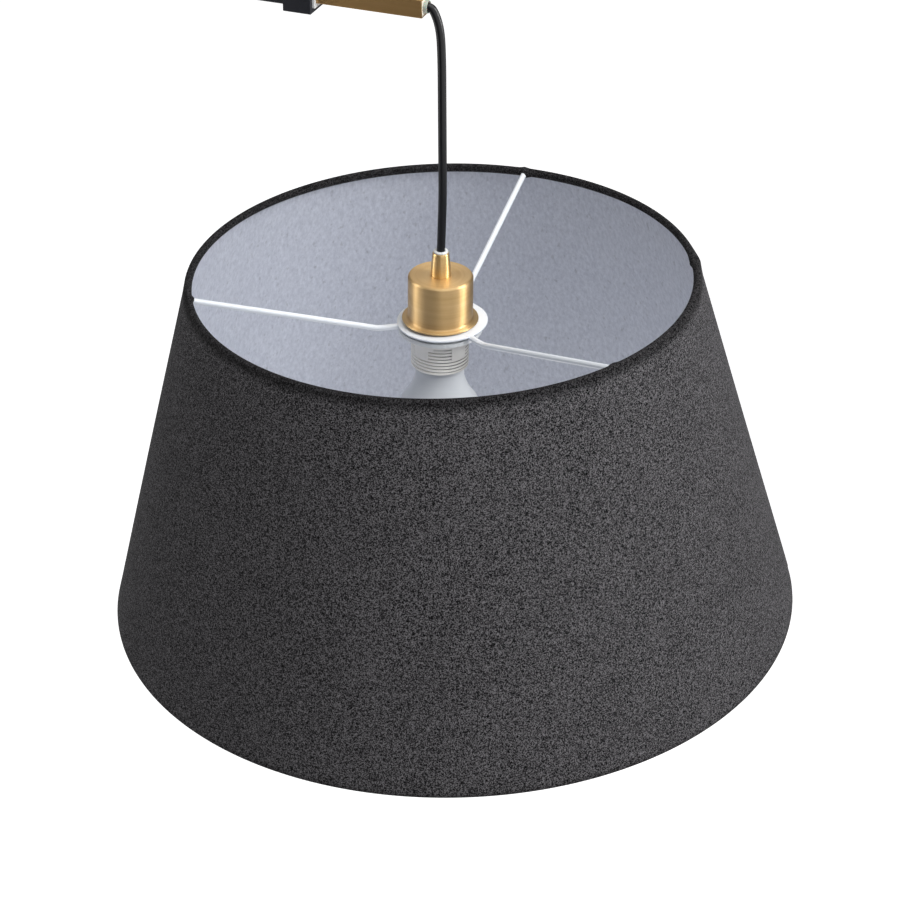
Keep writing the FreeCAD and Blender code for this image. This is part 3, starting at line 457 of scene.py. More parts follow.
def rounded(corners, steps=4):
    """A closed outline from (across, up, fillet) corners, each corner rounded by its fillet."""
    points = []
    for k, (x, z, fillet) in enumerate(corners):
        here = Vector((x, z))
        if fillet == 0:
            points.append(here)
            continue
        back = (Vector(corners[k - 1][:2]) - here).normalized()
        onward = (Vector(corners[(k + 1) % len(corners)][:2]) - here).normalized()
        half = back.angle(onward) / 2
        centre = here + (back + onward).normalized() * (fillet / math.sin(half))
        first = here + back * (fillet / math.tan(half)) - centre
        last = here + onward * (fillet / math.tan(half)) - centre
        start = math.atan2(first.y, first.x)
        sweep = (math.atan2(last.y, last.x) - start + math.pi) % (2 * math.pi) - math.pi
        for step in range(steps + 1):
            angle = start + sweep * step / steps
            points.append(centre + Vector((math.cos(angle), math.sin(angle))) * fillet)
    return points


def bowed(start, through, end, steps=8):
    """Points on the arc from one point through another to a third, ready for rounded()."""
    (ax, ay), (bx, by), (cx, cy) = start, through, end
    d = 2 * (ax * (by - cy) + bx * (cy - ay) + cx * (ay - by))
    a, b, c = ax * ax + ay * ay, bx * bx + by * by, cx * cx + cy * cy
    x = (a * (by - cy) + b * (cy - ay) + c * (ay - by)) / d
    y = (a * (cx - bx) + b * (ax - cx) + c * (bx - ax)) / d
    first, middle, last = (math.atan2(q - y, p - x) for p, q in (start, through, end))
    sweep = (last - first) % (2 * math.pi)
    if (middle - first) % (2 * math.pi) > sweep:
        sweep -= 2 * math.pi
    radius = math.hypot(ax - x, ay - y)
    angles = [first + sweep * k / steps for k in range(steps + 1)]
    return [(x + radius * math.cos(t), y + radius * math.sin(t), 0) for t in angles]


def turned(name, outline_mm, material, segments=96, closed=True, axis=(0, PENDANT_Y, RIM_Z), along_arm=False):
    """A turned piece from an outline of (radius, height) in millimetres, above a point on its axis."""
    chain = [(r * MM - PATH_RADIUS, -z * MM, 0) for r, z in outline_mm]
    count = len(chain)
    edges = [(k, k + 1) for k in range(count - 1)] + ([(count - 1, 0)] if closed else [])
    made = baked(name, lathe, material, chain, edges, Segments=segments)
    move = Matrix.Translation(Vector(axis) * MM)
    if along_arm:
        move = move @ Matrix.Rotation(math.pi / 2, 4, "X")
    made.data.transform(move)
    return clean(made)


# %% [markdown]
# ## How the pendant hangs
# Nothing on a soft cord hangs quite true. The photograph shows the lamp holder leaning 0.8 degrees one way
# and the shade 1.4 degrees the other way. Its upper rim leans a little less, and its lower rim less still
# and a millimetre and a half aside, because the spokes and hoops are bent by hand. Every piece is shaped
# upright, where it is easy, and these two moves then hang it.

# %% Two ways to hang
LEAN_AXIS = Vector((math.cos(math.radians(21.8)), math.sin(math.radians(21.8)), 0))
ASIDE = Vector((LEAN_AXIS.y, -LEAN_AXIS.x, 0))


def turned_about(height, degrees):
    """The turn about the level line through the pendant's axis at a height above the rim."""
    pivot = Vector((0, PENDANT_Y, RIM_Z + height)) * MM
    turn = Matrix.Rotation(math.radians(degrees), 4, LEAN_AXIS)
    return Matrix.Translation(pivot) @ turn @ Matrix.Translation(-pivot)


HOLDER_LEAN, SHADE_LEAN, SHADE_ASIDE, SHADE_RISE = 0.8, -1.4, 1.8, 0.4
HOLDER_HANGS = turned_about(17.0, HOLDER_LEAN)
SHADE_HANGS = Matrix.Translation((ASIDE * SHADE_ASIDE + Vector((0, 0, SHADE_RISE))) * MM)
SHADE_HANGS = SHADE_HANGS @ turned_about(-36.5, SHADE_LEAN)


def mesh_points(made):
    flat = np.empty(len(made.data.vertices) * 3)
    made.data.vertices.foreach_get("co", flat)
    return flat.reshape(-1, 3)


def set_points(made, points):
    made.data.vertices.foreach_set("co", points.astype(np.float32).ravel())
    made.data.update()


def polar(points):
    """The angle, radius and height above the rim of points round the pendant's axis, in millimetres."""
    x, y = points[:, 0] / MM, points[:, 1] / MM - PENDANT_Y
    return np.arctan2(y, x), np.hypot(x, y), points[:, 2] / MM - RIM_Z


def outward(angle, distance_mm):
    """Moves of a distance away from the pendant's axis, at an angle."""
    return np.stack([np.cos(angle), np.sin(angle), np.zeros_like(angle)], axis=1) * (distance_mm * MM)[:, None]


TOP_ASIDE, FOOT_ASIDE, TOP_ASKEW, FOOT_ASKEW = -0.13, 1.49, 0.16, 0.19


def hang_shade(made, node):
    """Hangs a part of the shade: askew from the upper rim to the lower one, and then the lean."""
    points = mesh_points(made)
    height = points[:, 2] / MM - RIM_Z
    down = np.clip(-height / SHADE_HEIGHT, 0, 1)
    across = (points[:, 0] * ASIDE.x + (points[:, 1] - PENDANT_Y * MM) * ASIDE.y) / MM
    points += np.outer(TOP_ASIDE + FOOT_ASIDE * down, ASIDE) * MM
    points[:, 2] -= across * np.tan(np.radians(TOP_ASKEW + FOOT_ASKEW * down)) * MM
    set_points(made, points)
    made.data.transform(SHADE_HANGS)
    settle(made, node)


def hang_holder(made, node):
    """Hangs a part of the lamp holder."""
    made.data.transform(HOLDER_HANGS)
    settle(made, node)


# %% [markdown]
# ## The cord
# A three-core flex would be stiffer, but this is a limp two-core PVC cord 5.8 mm thick. It leaves the arm's
# end level, bends down in a radius of about 16 mm because the pendant pulls it, and then hangs almost
# straight for 150 mm into the nozzle, 178.7 mm in all. A line of straight pieces and arcs would look like
# bent wire, so the route's points control one smooth spline. The cord is then a mesh tube, which runs over
# the joint between its two bodies.

# %% Lay the cord
CORD_ROUTE = [
    (10.6, 190.1), (7.4, 190.1), (4.6, 188.8), (1.9, 183.2), (0.0, 176.2), (-1.0, 167.2), (-1.4, 150.0),
    (-1.45, 133.0), (-1.5, 80.0), (-1.5, 58.0), (-0.8, 36.0), (0.0, 17.1),
]
CORD_DIAMETER = 5.8 * MM


def on_route(y, z):
    return Vector((0, (PENDANT_Y + y) * MM, (RIM_Z + z) * MM))


def route_mesh(name, bevel):
    """The spline along the route as a mesh: a line, or a tube of the bevel's radius."""
    curve = bpy.data.curves.new(name, "CURVE")
    curve.dimensions = "3D"
    curve.resolution_u = 16
    spline = curve.splines.new("NURBS")
    spline.points.add(len(CORD_ROUTE) - 1)
    for point, (y, z) in zip(spline.points, CORD_ROUTE):
        point.co = (*on_route(y, z), 1)
    spline.order_u = 3
    spline.use_endpoint_u = True
    curve.bevel_depth = bevel
    curve.bevel_resolution = 7
    curve.use_fill_caps = bevel > 0
    made = new_object(name, curve)
    mesh = plain_mesh(made)
    bpy.data.objects.remove(made)
    bpy.data.curves.remove(curve)
    return mesh


line = route_mesh("cord_line", 0.0)
bpy.data.meshes.remove(line)
cord = new_object("hanging_cord", route_mesh("hanging_cord", CORD_DIAMETER / 2))
paint(cord.data, PVC)
clean(cord, 50.0)
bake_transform(cord)
stand_for(cord, "cord_bend", "cord_drop")

# %% [markdown]
# ## The coil inside the arm
# Inside the large tube the flex is wound into a coil, so that the small tube can be drawn out. It could
# stay the plain sleeve that stands for it in the solids, but a sleeve can't give way when the small tube is
# pushed in. A node tree winds the flex round the arm's axis.

# %% The coiled flex
def wind(tree, given, height, profile, resolution, **settings):
    """Ends a tree with a profile swept up a spiral. settings hold its edges upright, or nothing."""
    spiral = add(
        tree, "GeometryNodeCurveSpiral",
        {"Resolution": resolution, "Rotations": given["Turns"], "Start Radius": given["Radius"],
         "End Radius": given["Radius"], "Height": height},
    )
    if settings:
        spiral = add(tree, "GeometryNodeSetCurveNormal", {"Curve": spiral}, **settings)
    swept = {"Curve": spiral, "Profile Curve": profile, "Fill Caps": True}
    end_tree(tree, given, add(tree, "GeometryNodeCurveToMesh", swept))


COIL_FRONT, COIL_LENGTH = -111.9, 120.6
coil_tree, given = shape_tree("coil", {"Turns": 19.0, "Radius": 0.0045, "Length": COIL_LENGTH * MM, "Wire": 0.0014})
section = add(coil_tree, "GeometryNodeCurvePrimitiveCircle", {"Resolution": 10, "Radius": given["Wire"]})
wind(coil_tree, given, given["Length"], section, 20)
coil = baked("coiled_flex", coil_tree, PVC)
coil.data.transform(Matrix.Translation((0, COIL_FRONT * MM, 0)) @ Matrix.Rotation(math.radians(90), 4, "X"))
clean(coil, 50.0)
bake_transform(coil)
stand_for(coil, "coiled_lead")

# %% [markdown]
# ## The shade's fabric
# The cover is one sheet of cloth, cut as a ring sector, wrapped round the two hoops and turned in over
# them. It could be a cone with a Solidify modifier, but the rolled rims are what the eye sees, so the
# outline has them: it runs up the wall, over the top hoop and a few millimetres down the inside. The wall
# leans in by 15 degrees. The ends of the cloth lap at one side, and the sheet is half a millimetre thick.

# %% Shade sizes
TOP_RADIUS, BOTTOM_RADIUS, SHADE_HEIGHT = 175.4, 245.6, 258.3
CLOTH, LINER, WIRE, TURN_IN = 0.5, 0.5, 1.8, 4.4
WALL_SLANT = math.atan2(BOTTOM_RADIUS - TOP_RADIUS, SHADE_HEIGHT)
ROLL = WIRE + CLOTH
HOOPS = [(TOP_RADIUS - ROLL, -ROLL), (BOTTOM_RADIUS - ROLL, ROLL - SHADE_HEIGHT)]
TURN_IN_SLANT = 32.0
LAP_ANGLE = math.radians(-65.0)
SPIDER_ANGLES = [math.radians(0.65 + 120 * k) for k in range(3)]


def wall_point(hoop, inward, down):
    """A point inward from a hoop's centre, square to the wall, and down along the wall."""
    sine, cosine = math.sin(WALL_SLANT), math.cos(WALL_SLANT)
    return (hoop[0] - inward * cosine + down * sine, hoop[1] - inward * sine - down * cosine)


def divided(a, b, parts):
    """The line from one point to another in equal parts."""
    return [(a[0] + (b[0] - a[0]) * s, a[1] + (b[1] - a[1]) * s) for s in np.linspace(0, 1, parts + 1)]


def sheet_side(radius):
    """One side of the cloth, from the bottom turn-in to the top one, at a radius from the hoops' centres."""
    sine, cosine = math.sin(math.radians(TURN_IN_SLANT)), math.cos(math.radians(TURN_IN_SLANT))
    end = [
        (radius * cosine - TURN_IN * share * sine, -radius * sine - TURN_IN * share * cosine)
        for share in (1.0, 0.6, 0.25)
    ]
    end += [(radius * math.cos(a), radius * math.sin(a)) for a in np.radians(np.linspace(-TURN_IN_SLANT, 180, 15))]
    bottom = [wall_point(HOOPS[1], inward, down) for inward, down in end]
    top = [wall_point(HOOPS[0], inward, -down) for inward, down in end[::-1]]
    return bottom + divided(bottom[-1], top[0], 25)[1:-1] + top


cover_outline = sheet_side(ROLL) + sheet_side(WIRE)[::-1]
print(len(cover_outline), "points on the cover's outline, wall slant", round(math.degrees(WALL_SLANT), 2))

# %% [markdown]
# ### Cloth marks
# A few small things make it cloth. The fold is thicker at the top rim than the drawn sheet. Where the ends
# lap, one stands half a millimetre proud and the rim bulges. Where each spoke goes under the turned-in band,
# the cloth puckers round it and a knot stands up. The wall has a faint unevenness of about a tenth of a
# millimetre. Then the map of the flat cloth is laid on for the weave.

# %% Make the cover
cover = turned("shade_cover", cover_outline, FABRIC, segments=600)


def apart(angle, other):
    """The turn from one angle to another, between minus and plus half a circle."""
    return (angle - other + math.pi) % (2 * math.pi) - math.pi


LAP_RADIUS, BAND_RADIUS, BAND_FOOT, FADE = 210.0, 171.0, -9.0, 12.0
LAP_WIDTH, LAP_RISE, PUCKER, KNOT = 24.0, 0.45, 1.5, 0.9
FOLD_INSIDE, FOLD_OUTSIDE, BULGE_INSIDE, BULGE_OUTSIDE = 0.6, 0.25, -1.3, 0.8
points = mesh_points(cover)
angle, radius, height = polar(points)
hoop_radius, hoop_height = HOOPS[0]
from_wire = np.hypot(radius - hoop_radius, height - hoop_height)
round_wire = np.arctan2(height - hoop_height, radius - hoop_radius)
outer_face = from_wire > WIRE + CLOTH / 2
beyond = apart(angle, LAP_ANGLE) * LAP_RADIUS
lap = np.where(beyond > 0, np.clip(1 - beyond / LAP_WIDTH, 0, 1), 0) * LAP_RISE
wave = 0.10 * np.sin(5 * angle + height / 61) + 0.06 * np.sin(11 * angle - height / 37 + 1.3)
wall = np.clip(-height / FADE, 0, 1) * np.clip((height + SHADE_HEIGHT) / FADE, 0, 1)
fold = np.clip((3.6 - from_wire) / 1.2, 0, 1) * outer_face
fold *= np.where(radius > hoop_radius, FOLD_OUTSIDE, FOLD_INSIDE)
bulge = np.exp(-((beyond / np.where(beyond > 0, 14.0, 5.0)) ** 2)) * (height > BAND_FOOT)
bulge *= np.where(radius < hoop_radius, BULGE_INSIDE, BULGE_OUTSIDE) * outer_face
points += outward(angle, lap + wave * wall + fold * np.cos(round_wire) + bulge)
points[:, 2] += fold * np.sin(round_wire) * MM
for spoke in SPIDER_ANGLES:
    across = apart(angle, spoke) * BAND_RADIUS
    pucker = np.exp(-((across / 3.0) ** 2)) * (radius < TOP_RADIUS - 3.0) * (height > BAND_FOOT)
    knot = np.exp(-(((across - 1.5) / 2.4) ** 2)) * (height > -4) * (radius < TOP_RADIUS - 2.3)
    points -= outward(angle, pucker * PUCKER)
    points[:, 2] += (knot * KNOT - pucker) * MM
set_points(cover, points)


def lay_cloth_map(made):
    """A UV map of the flat cloth, in metres: the developed cone, with the rolls and turn-ins along it."""
    angle, radius, height = polar(mesh_points(made))
    sine = math.sin(WALL_SLANT)
    loops = np.empty(len(made.data.loops), dtype=int)
    made.data.loops.foreach_get("vertex_index", loops)
    loop_angle = (angle - LAP_ANGLE)[loops] % (2 * math.pi)
    turned_in = (radius < HOOPS[0][0]) & (height > -12)
    on_wall = TOP_RADIUS / sine - height / math.cos(WALL_SLANT)
    slant = np.where(turned_in, TOP_RADIUS / sine - 6 - (HOOPS[0][0] - radius) * 0.5 + height, on_wall)[loops]
    for face in made.data.polygons:
        span = slice(face.loop_start, face.loop_start + face.loop_total)
        turns = loop_angle[span]
        if turns.max() - turns.min() > math.pi:
            loop_angle[span] = np.where(turns < math.pi, turns + 2 * math.pi, turns)
    flat = loop_angle * sine
    uv = np.stack([np.cos(flat) * slant, np.sin(flat) * slant], axis=1) * MM
    layer = made.data.uv_layers.new(name="cloth")
    layer.data.foreach_set("uv", uv.astype(np.float32).ravel())


lay_cloth_map(cover)
hang_shade(cover, "shade_skin")

# %% [markdown]
# ### The lining
# The stiff sheet lies against the cloth, from just under one hoop to just over the other. It is a plain
# cone with a wall, and its inner face is most of what shows inside the shade.

# %% Make the lining
LINING_GAP, LINING_END = 0.05, 2.0
back, front = LINING_GAP - WIRE, LINING_GAP - WIRE + LINER
outside = [wall_point(HOOPS[0], back, LINING_END), wall_point(HOOPS[1], back, -LINING_END)]
inside = [wall_point(HOOPS[1], front, -LINING_END), wall_point(HOOPS[0], front, LINING_END)]
liner = turned("shade_lining_sheet", divided(*outside, 20) + divided(*inside, 20), LINING, segments=360)
hang_shade(liner, "shade_lining")

# %% [markdown]
# ### The hoops
# Each rim is held round by a hoop of 3.6 mm wire inside the rolled cloth. It is a circle swept round the
# axis, and it hangs askew with the cloth, so that neither pokes through the other.

# %% Make the hoops
HOOP_WIRE = WIRE - 0.03
for node, (r, z) in zip(("top_hoop", "bottom_hoop"), HOOPS):
    turns = np.linspace(0, 2 * math.pi, 17)[:-1]
    dots = [(r + HOOP_WIRE * math.cos(t), z + HOOP_WIRE * math.sin(t)) for t in turns]
    hang_shade(turned(node + "_wire", dots, ENAMEL, segments=240), node)

# %% [markdown]
# ## The spider
# A flat steel ring sits on the holder, and three spokes of 4.0 mm wire are welded under its edge. They run
# level for a little and then up to the top hoop, with their ends under the cloth, and the whole is
# enamelled white. The spokes repeat, so a node tree bends one from a line, gives it a round section, and
# sets three round the ring. Two of them are then bent aside a little, as the hand that made them did.

# %% Make the ring
ring = turned(
    "spider_ring_enamelled",
    rounded([(22.2, -36.5, 0.3), (31.3, -36.5, 0.45), (31.3, -37.9, 0.45), (22.2, -37.9, 0.3)]),
    ENAMEL, segments=128,
)
RING_ASIDE = -1.25
ring.data.transform(Matrix.Translation(ASIDE * RING_ASIDE * MM))
hang_shade(ring, "spider_ring")

# %% Make the spokes
spokes, given = shape_tree("spokes", {
    "Bend radius": 0.0445, "Start radius": 0.0306, "Hoop radius": 0.1718, "Rise": 0.0352, "Wire": 0.002, "Count": 3,
})
start, bend, tip = (
    add(spokes, "ShaderNodeCombineXYZ", spot)
    for spot in ({0: given["Start radius"]}, {0: given["Bend radius"]}, {0: given["Hoop radius"], 2: given["Rise"]})
)
both = add(spokes, "GeometryNodeJoinGeometry")
for first, last in ((bend, tip), (start, bend)):
    fill(both, {0: add(spokes, "GeometryNodeCurvePrimitiveLine", {"Start": first, "End": last})})
as_mesh = add(spokes, "GeometryNodeCurveToMesh", {"Curve": both})
met = add(spokes, "GeometryNodeMergeByDistance", {"Geometry": as_mesh, "Distance": 1e-5})
one_line = add(spokes, "GeometryNodeMeshToCurve", {"Mesh": met})
bent = add(spokes, "GeometryNodeFilletCurve", {"Curve": one_line, "Count": 12, "Radius": 0.018}, mode="POLY")
section = add(spokes, "GeometryNodeCurvePrimitiveCircle", {"Resolution": 24, "Radius": given["Wire"]})
wire = add(spokes, "GeometryNodeCurveToMesh", {"Curve": bent, "Profile Curve": section, "Fill Caps": True})
hub = add(spokes, "GeometryNodeMeshCircle", {"Vertices": given["Count"], "Radius": 0.00001})
index = add(spokes, "GeometryNodeInputIndex")
share = add(spokes, "ShaderNodeMath", {0: index, 1: given["Count"]}, operation="DIVIDE")
spin = add(spokes, "ShaderNodeMath", {0: share, 1: 2 * math.pi}, operation="MULTIPLY")
heading = add(spokes, "ShaderNodeCombineXYZ", {2: spin})
three = {"Points": hub, "Instance": wire, "Rotation": heading}
end_tree(spokes, given, add(spokes, "GeometryNodeInstanceOnPoints", three))
spider = baked("spider_spokes_enamelled", spokes, ENAMEL)
SPOKE_LEVEL = -38.5
hub_place = Matrix.Translation((0, PENDANT_Y * MM, (RIM_Z + SPOKE_LEVEL) * MM))
spider.data.transform(hub_place @ Matrix.Rotation(SPIDER_ANGLES[0], 4, "Z"))

# %% Bend them by hand
BEND_REACH, BEND_RUN, HUB_REACH, HOOP_REACH = 44.0, 129.0, 48.0, 173.1
points = mesh_points(spider)
turn, reach, _ = polar(points)
for spoke, bend in zip(SPIDER_ANGLES, (0.5, 0.0, 0.4)):
    swing = np.radians(bend) * (np.abs(apart(turn, spoke)) < 0.5) * np.clip((reach - BEND_REACH) / BEND_RUN, 0, 1)
    from_axis = points - np.array(PENDANT_AXIS)
    points[:, 0] -= from_axis[:, 1] * swing
    points[:, 1] += from_axis[:, 0] * swing
held_aside = RING_ASIDE * np.clip((HOOP_REACH - reach) / (HOOP_REACH - HUB_REACH), 0, 1)
set_points(spider, points + np.outer(held_aside, ASIDE) * MM)
hang_shade(clean(spider, 50.0), "spider_wires")

# %% [markdown]
# ## The cup and the nozzle
# The cup was spun from brass sheet: a flat top, a tight shoulder, a plain wall and a lip turned out flat at
# the foot. The nozzle on it was turned from bar, narrow at the top and full at the foot, and it holds a white
# grip ring that pinches the cord. Their outlines carry every small radius, because on brushed brass the
# edges are what catches the light.

# %% Make the cup
cup = turned(
    "holder_cup_brass",
    rounded(
        [(5.05, -1.7, 0.1)]
        + bowed((20.6, -1.7), (21.87, -2.23), (22.4, -3.5))
        + bowed((22.4, -31.9), (22.84, -32.96), (23.9, -33.4))
        + bowed((25.75, -33.7), (26.35, -34.35), (25.75, -35.0))
        + bowed((24.2, -34.95), (22.22, -34.13), (21.4, -32.15))
        + [(21.4, -2.7, 0.9), (5.05, -2.7, 0.1)]
    ),
    BRASS_SPUN, segments=160,
)
cup.data.materials.append(BRASS_FACED)
for face in cup.data.polygons:
    face.material_index = int(face.normal.z > 0.98 and face.center.z > (RIM_Z - 2.2) * MM)
hang_holder(cup, "holder_cup")

# %% Make the nozzle and the grip ring
nozzle = turned(
    "grip_nozzle_brass",
    rounded(
        [(3.0, -9.0, 0.2), (4.97, -9.0, 0.2), (4.97, -1.7, 0), (6.85, -1.7, 0.12)]
        + bowed((6.85, -1.2), (6.45, 8.0), (5.6, 15.2))
        + [(5.35, 15.5, 0.08), (4.6, 15.5, 0.05), (3.0, 10.9, 0.2)]
    ),
    BRASS_TURNED,
)
hang_holder(nozzle, "grip_nozzle")
collet = turned(
    "cord_collet_white",
    rounded(
        [(2.95, 11.7, 0), (3.1, 11.7, 0), (4.4, 15.55, 0), (4.95, 15.55, 0.05)]
        + bowed((4.98, 15.7), (4.98, 16.5), (4.6, 16.9))
        + [(2.95, 16.9, 0.2)]
    ),
    NUT_PLASTIC, segments=64,
)
hang_holder(collet, "cord_collet")

# %% [markdown]
# ## The holder's skirt and its nut
# The skirt is moulded in white, with the standard 40 mm thread of 2.5 mm pitch outside. Rings would pass
# from afar, but a thread climbs, so one ridge winds up a spiral on a plain core. The spiral and its sweep
# are a node tree again. A plain band with a recess and two plain pads interrupt the thread. The nut's
# flange is dished and has notches to grip, which are a wave on its outline's outer radius.

# %% Make the thread and the core
CREST, ROOT, THREAD_FOOT, FRONT = 20.0, 18.5, -67.35, math.radians(201.8)
thread, given = shape_tree("thread", {"Turns": 11.0, "Pitch": 0.0025, "Radius": ROOT * MM})
climb = add(thread, "ShaderNodeMath", {0: given["Turns"], 1: given["Pitch"]}, operation="MULTIPLY")
ridge = add(thread, "GeometryNodeMeshToCurve", {"Mesh": given["Geometry"]})
wind(thread, given, climb, ridge, 120, mode="Z_UP")
half = [(0.4, -1.2), (0.0, -1.15), (-1.35, -0.76), (-1.5, -0.62)]
ridge_outline = [(x * MM, y * MM, 0) for x, y in half + [(x, -y) for x, y in half[::-1]]]
loop = [(k, (k + 1) % len(ridge_outline)) for k in range(len(ridge_outline))]
winding = baked("thread_ridge", thread, SKIRT_PLASTIC, ridge_outline, loop)
winding.data.transform(Matrix.Translation((0, PENDANT_Y * MM, (RIM_Z + THREAD_FOOT) * MM)))
clean(winding, 40.0)
core = turned(
    "holder_skirt_core",
    rounded(
        [
            (2.5, -33.2, 0.2), (20.9, -33.2, 0.3), (20.9, -34.1, 0.3), (19.8, -34.1, 0.2), (19.8, -37.8, 0.3),
            (ROOT, -38.3, 0.3), (ROOT, -67.6, 0.1), (CREST, -67.9, 0.15), (CREST, -69.5, 0.5), (14.7, -69.5, 0.5),
            (14.7, -39.1, 0.2), (2.5, -39.1, 0.2),
        ],
        3,
    ),
    SKIRT_PLASTIC, segments=128,
)

# %% Make the plain band and the two pads
BAND_INSIDE, BAND_OUTSIDE = 18.0, CREST + 0.03
levels = ((-46.0, 0), (-48.3, 0), (-48.42, 0), (-50.78, 0), (-50.9, 0), (-51.5, 0.12))
crest = [(BAND_OUTSIDE, z, fillet) for z, fillet in levels]
band_outline = rounded([(BAND_INSIDE, -46.0, 0), *crest, (BAND_INSIDE, -51.5, 0)])
band = turned("plain_band", band_outline, SKIRT_PLASTIC, segments=360)
points = mesh_points(band)
angle, radius, height = polar(points)
turn = np.degrees(apart(angle, FRONT))
in_recess = (turn > -13.5) & (turn < 23.5) & (height < -48.35) & (height > -50.85) & (radius > 19)
RECESS_DEPTH = 0.7
set_points(band, points - outward(angle, in_recess * RECESS_DEPTH))


def pad(name, middle, half_turn, low, high):
    """A plain piece of the crest cylinder, between two heights and two turns from the front."""
    turns = np.radians(np.linspace(middle - half_turn, middle + half_turn, 25)) + FRONT
    corners = ((BAND_INSIDE, high), (BAND_OUTSIDE, high), (BAND_OUTSIDE, low), (BAND_INSIDE, low))
    mesh = bpy.data.meshes.new(name)
    with reworked(mesh) as work:
        rows = [
            [work.verts.new(Vector((r * math.cos(t), PENDANT_Y + r * math.sin(t), RIM_Z + z)) * MM) for t in turns]
            for r, z in corners
        ]
        for upper, lower in zip(rows, rows[1:] + rows[:1]):
            for k in range(len(turns) - 1):
                work.faces.new((upper[k], upper[k + 1], lower[k + 1], lower[k]))
        for end in (0, -1):
            work.faces.new([row[end] for row in rows])
    paint(mesh, SKIRT_PLASTIC)
    return clean(new_object(name, mesh))


pads = [pad("pad", middle, 18.0, -58.4, -51.2) for middle in (-42.0, 42.0)]


def joined_mesh(name, *parts):
    """One object from several plain meshes. The first part's material slots come first."""
    mesh = bpy.data.meshes.new(name)
    materials = []
    with reworked(mesh) as work:
        for part in parts:
            before = len(work.faces)
            work.from_mesh(part.data)
            work.faces.ensure_lookup_table()
            for face in work.faces[before:]:
                face.material_index += len(materials)
            materials += list(part.data.materials)
            bpy.data.objects.remove(part)
    for material in materials:
        mesh.materials.append(material)
    return new_object(name, mesh)


hang_holder(joined_mesh("holder_skirt_moulded", core, winding, band, *pads), "holder_skirt")

# %% Make the nut
nut = turned(
    "shade_nut_moulded",
    rounded([
        (20.1, -38.6, 0.2), (23.8, -38.6, 0.3), (24.0, -42.0, 0.2), (28.6, -42.0, 0.2), (28.8, -40.1, 0.1),
        (29.3, -40.1, 0.2), (29.3, -43.2, 0.5), (23.5, -43.2, 0.3), (23.5, -45.5, 0.5), (20.1, -45.5, 0.2),
    ]),
    NUT_PLASTIC, segments=288,
)
NOTCHES, NOTCH_DEPTH = 24, 0.3
points = mesh_points(nut)
angle, radius, height = polar(points)
notch = np.clip(np.cos(NOTCHES * angle) * 4 - 3, 0, 1) * np.clip((radius - 27.5) / 1.2, 0, 1)
set_points(nut, points - outward(angle, notch * NOTCH_DEPTH))
hang_holder(nut, "shade_nut")

# %% [markdown]
# ## The bulb
# A white opal globe of 60 mm, with a collar over the screw cap, a straight neck and a flare. It is blown and
# hollow, so its outline runs down the outside and back up the inside.

# %% Make the bulb
bulb = turned(
    "bulb_globe",
    rounded(
        [(13.4, -67.2, 0.2), (14.2, -69.5, 0.6), (16.4, -71.5, 0.8), (16.9, -73.5, 0.6)]
        + bowed((17.1, -79.6), (20.6, -89.3), (26.6, -98.7), 12)
        + bowed((26.6, -98.7), (29.2, -105.6), (30.0, -113.5), 8)[1:]
        + bowed((30.0, -113.5), (21.2, -134.7), (0.0, -143.5), 24)[1:]
        + bowed((0.0, -142.3), (20.36, -133.86), (28.8, -113.5), 24)
        + bowed((28.8, -113.5), (28.0, -106.0), (25.5, -99.3), 8)[1:]
        + bowed((25.5, -99.3), (19.5, -89.9), (15.9, -79.9), 12)[1:]
        + [(15.7, -73.9, 0.5), (15.3, -72.3, 0.3), (13.2, -70.3, 0.3), (12.2, -67.2, 0.1)]
    ),
    OPAL, segments=128,
)
hang_holder(bulb, "bulb_body")

# %% [markdown]
# ## Pieces with a made shape already
# Extrusions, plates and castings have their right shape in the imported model. Its meshes are loose
# triangles, so each one that shows is copied, its points are joined, its flat faces are made whole and its
# edges get a fine bevel, as a deburred or coated edge has. The bevel alone would bend the shading of the
# flat faces, so the large faces decide how their corners are shaded.


# %% Copy, join and bevel
def made_from(node, name, material, bevel_mm=0.0):
    """A smooth-shaded copy of a CAD node's mesh, with its sharp edges bevelled."""
    made = new_object(name, frame["nodes"][node].data.copy())
    paint(made.data, material)
    with reworked(made.data) as work:
        bmesh.ops.remove_doubles(work, verts=work.verts, dist=2e-6)
        bmesh.ops.dissolve_limit(work, angle_limit=math.radians(0.3), verts=work.verts, edges=work.edges)
    if bevel_mm:
        bevel = made.modifiers.new("edges", "BEVEL")
        bevel.width = bevel_mm * MM
        bevel.segments = 2
        bevel.angle_limit = math.radians(50)
        clean(applied(made), 30.5, 1e-7, False)
        flats = made.modifiers.new("flats", "WEIGHTED_NORMAL")
        flats.weight = 100
        flats.keep_sharp = True
        applied(made)
    else:
        clean(made, 30.0, 1e-7, False)
    settle(made, node)


for material, look, bevels_mm in (
    (BRASS_DRAWN, "brass", {"inner_tube": 0.12, "pivot_studs": 0.0}),
    (IVORY_PLASTIC, "ivory", {"tip_plug": 0.1}),
    (NUT_PLASTIC, "white", {"collar_liner": 0.12}),
    (POWDER, "black", {
        "arm_tube": 0.15, "end_collar": 0.15, "arm_head": 0.2, "pivot_fork": 0.3, "wall_housing": 0.2,
        "housing_screws": 0.0,
    }),
    (ZINC, "zinc", {"wall_bracket": 0.15, "head_grub_screws": 0.0}),
    (SWITCH_PLASTIC, "black", {"switch_body": 0.15, "switch_rocker": 0.0, "inlet_grommet": 0.0}),
    (BRONZE, "bronze", {"pivot_bushes": 0.1}),
    (PVC, "black", {"supply_flex": 0.0}),
    (NICKEL, "nickel", {"bulb_cap": 0.0}),
):
    for node, bevel_mm in bevels_mm.items():
        made_from(node, f"{node}_{look}", material, bevel_mm)

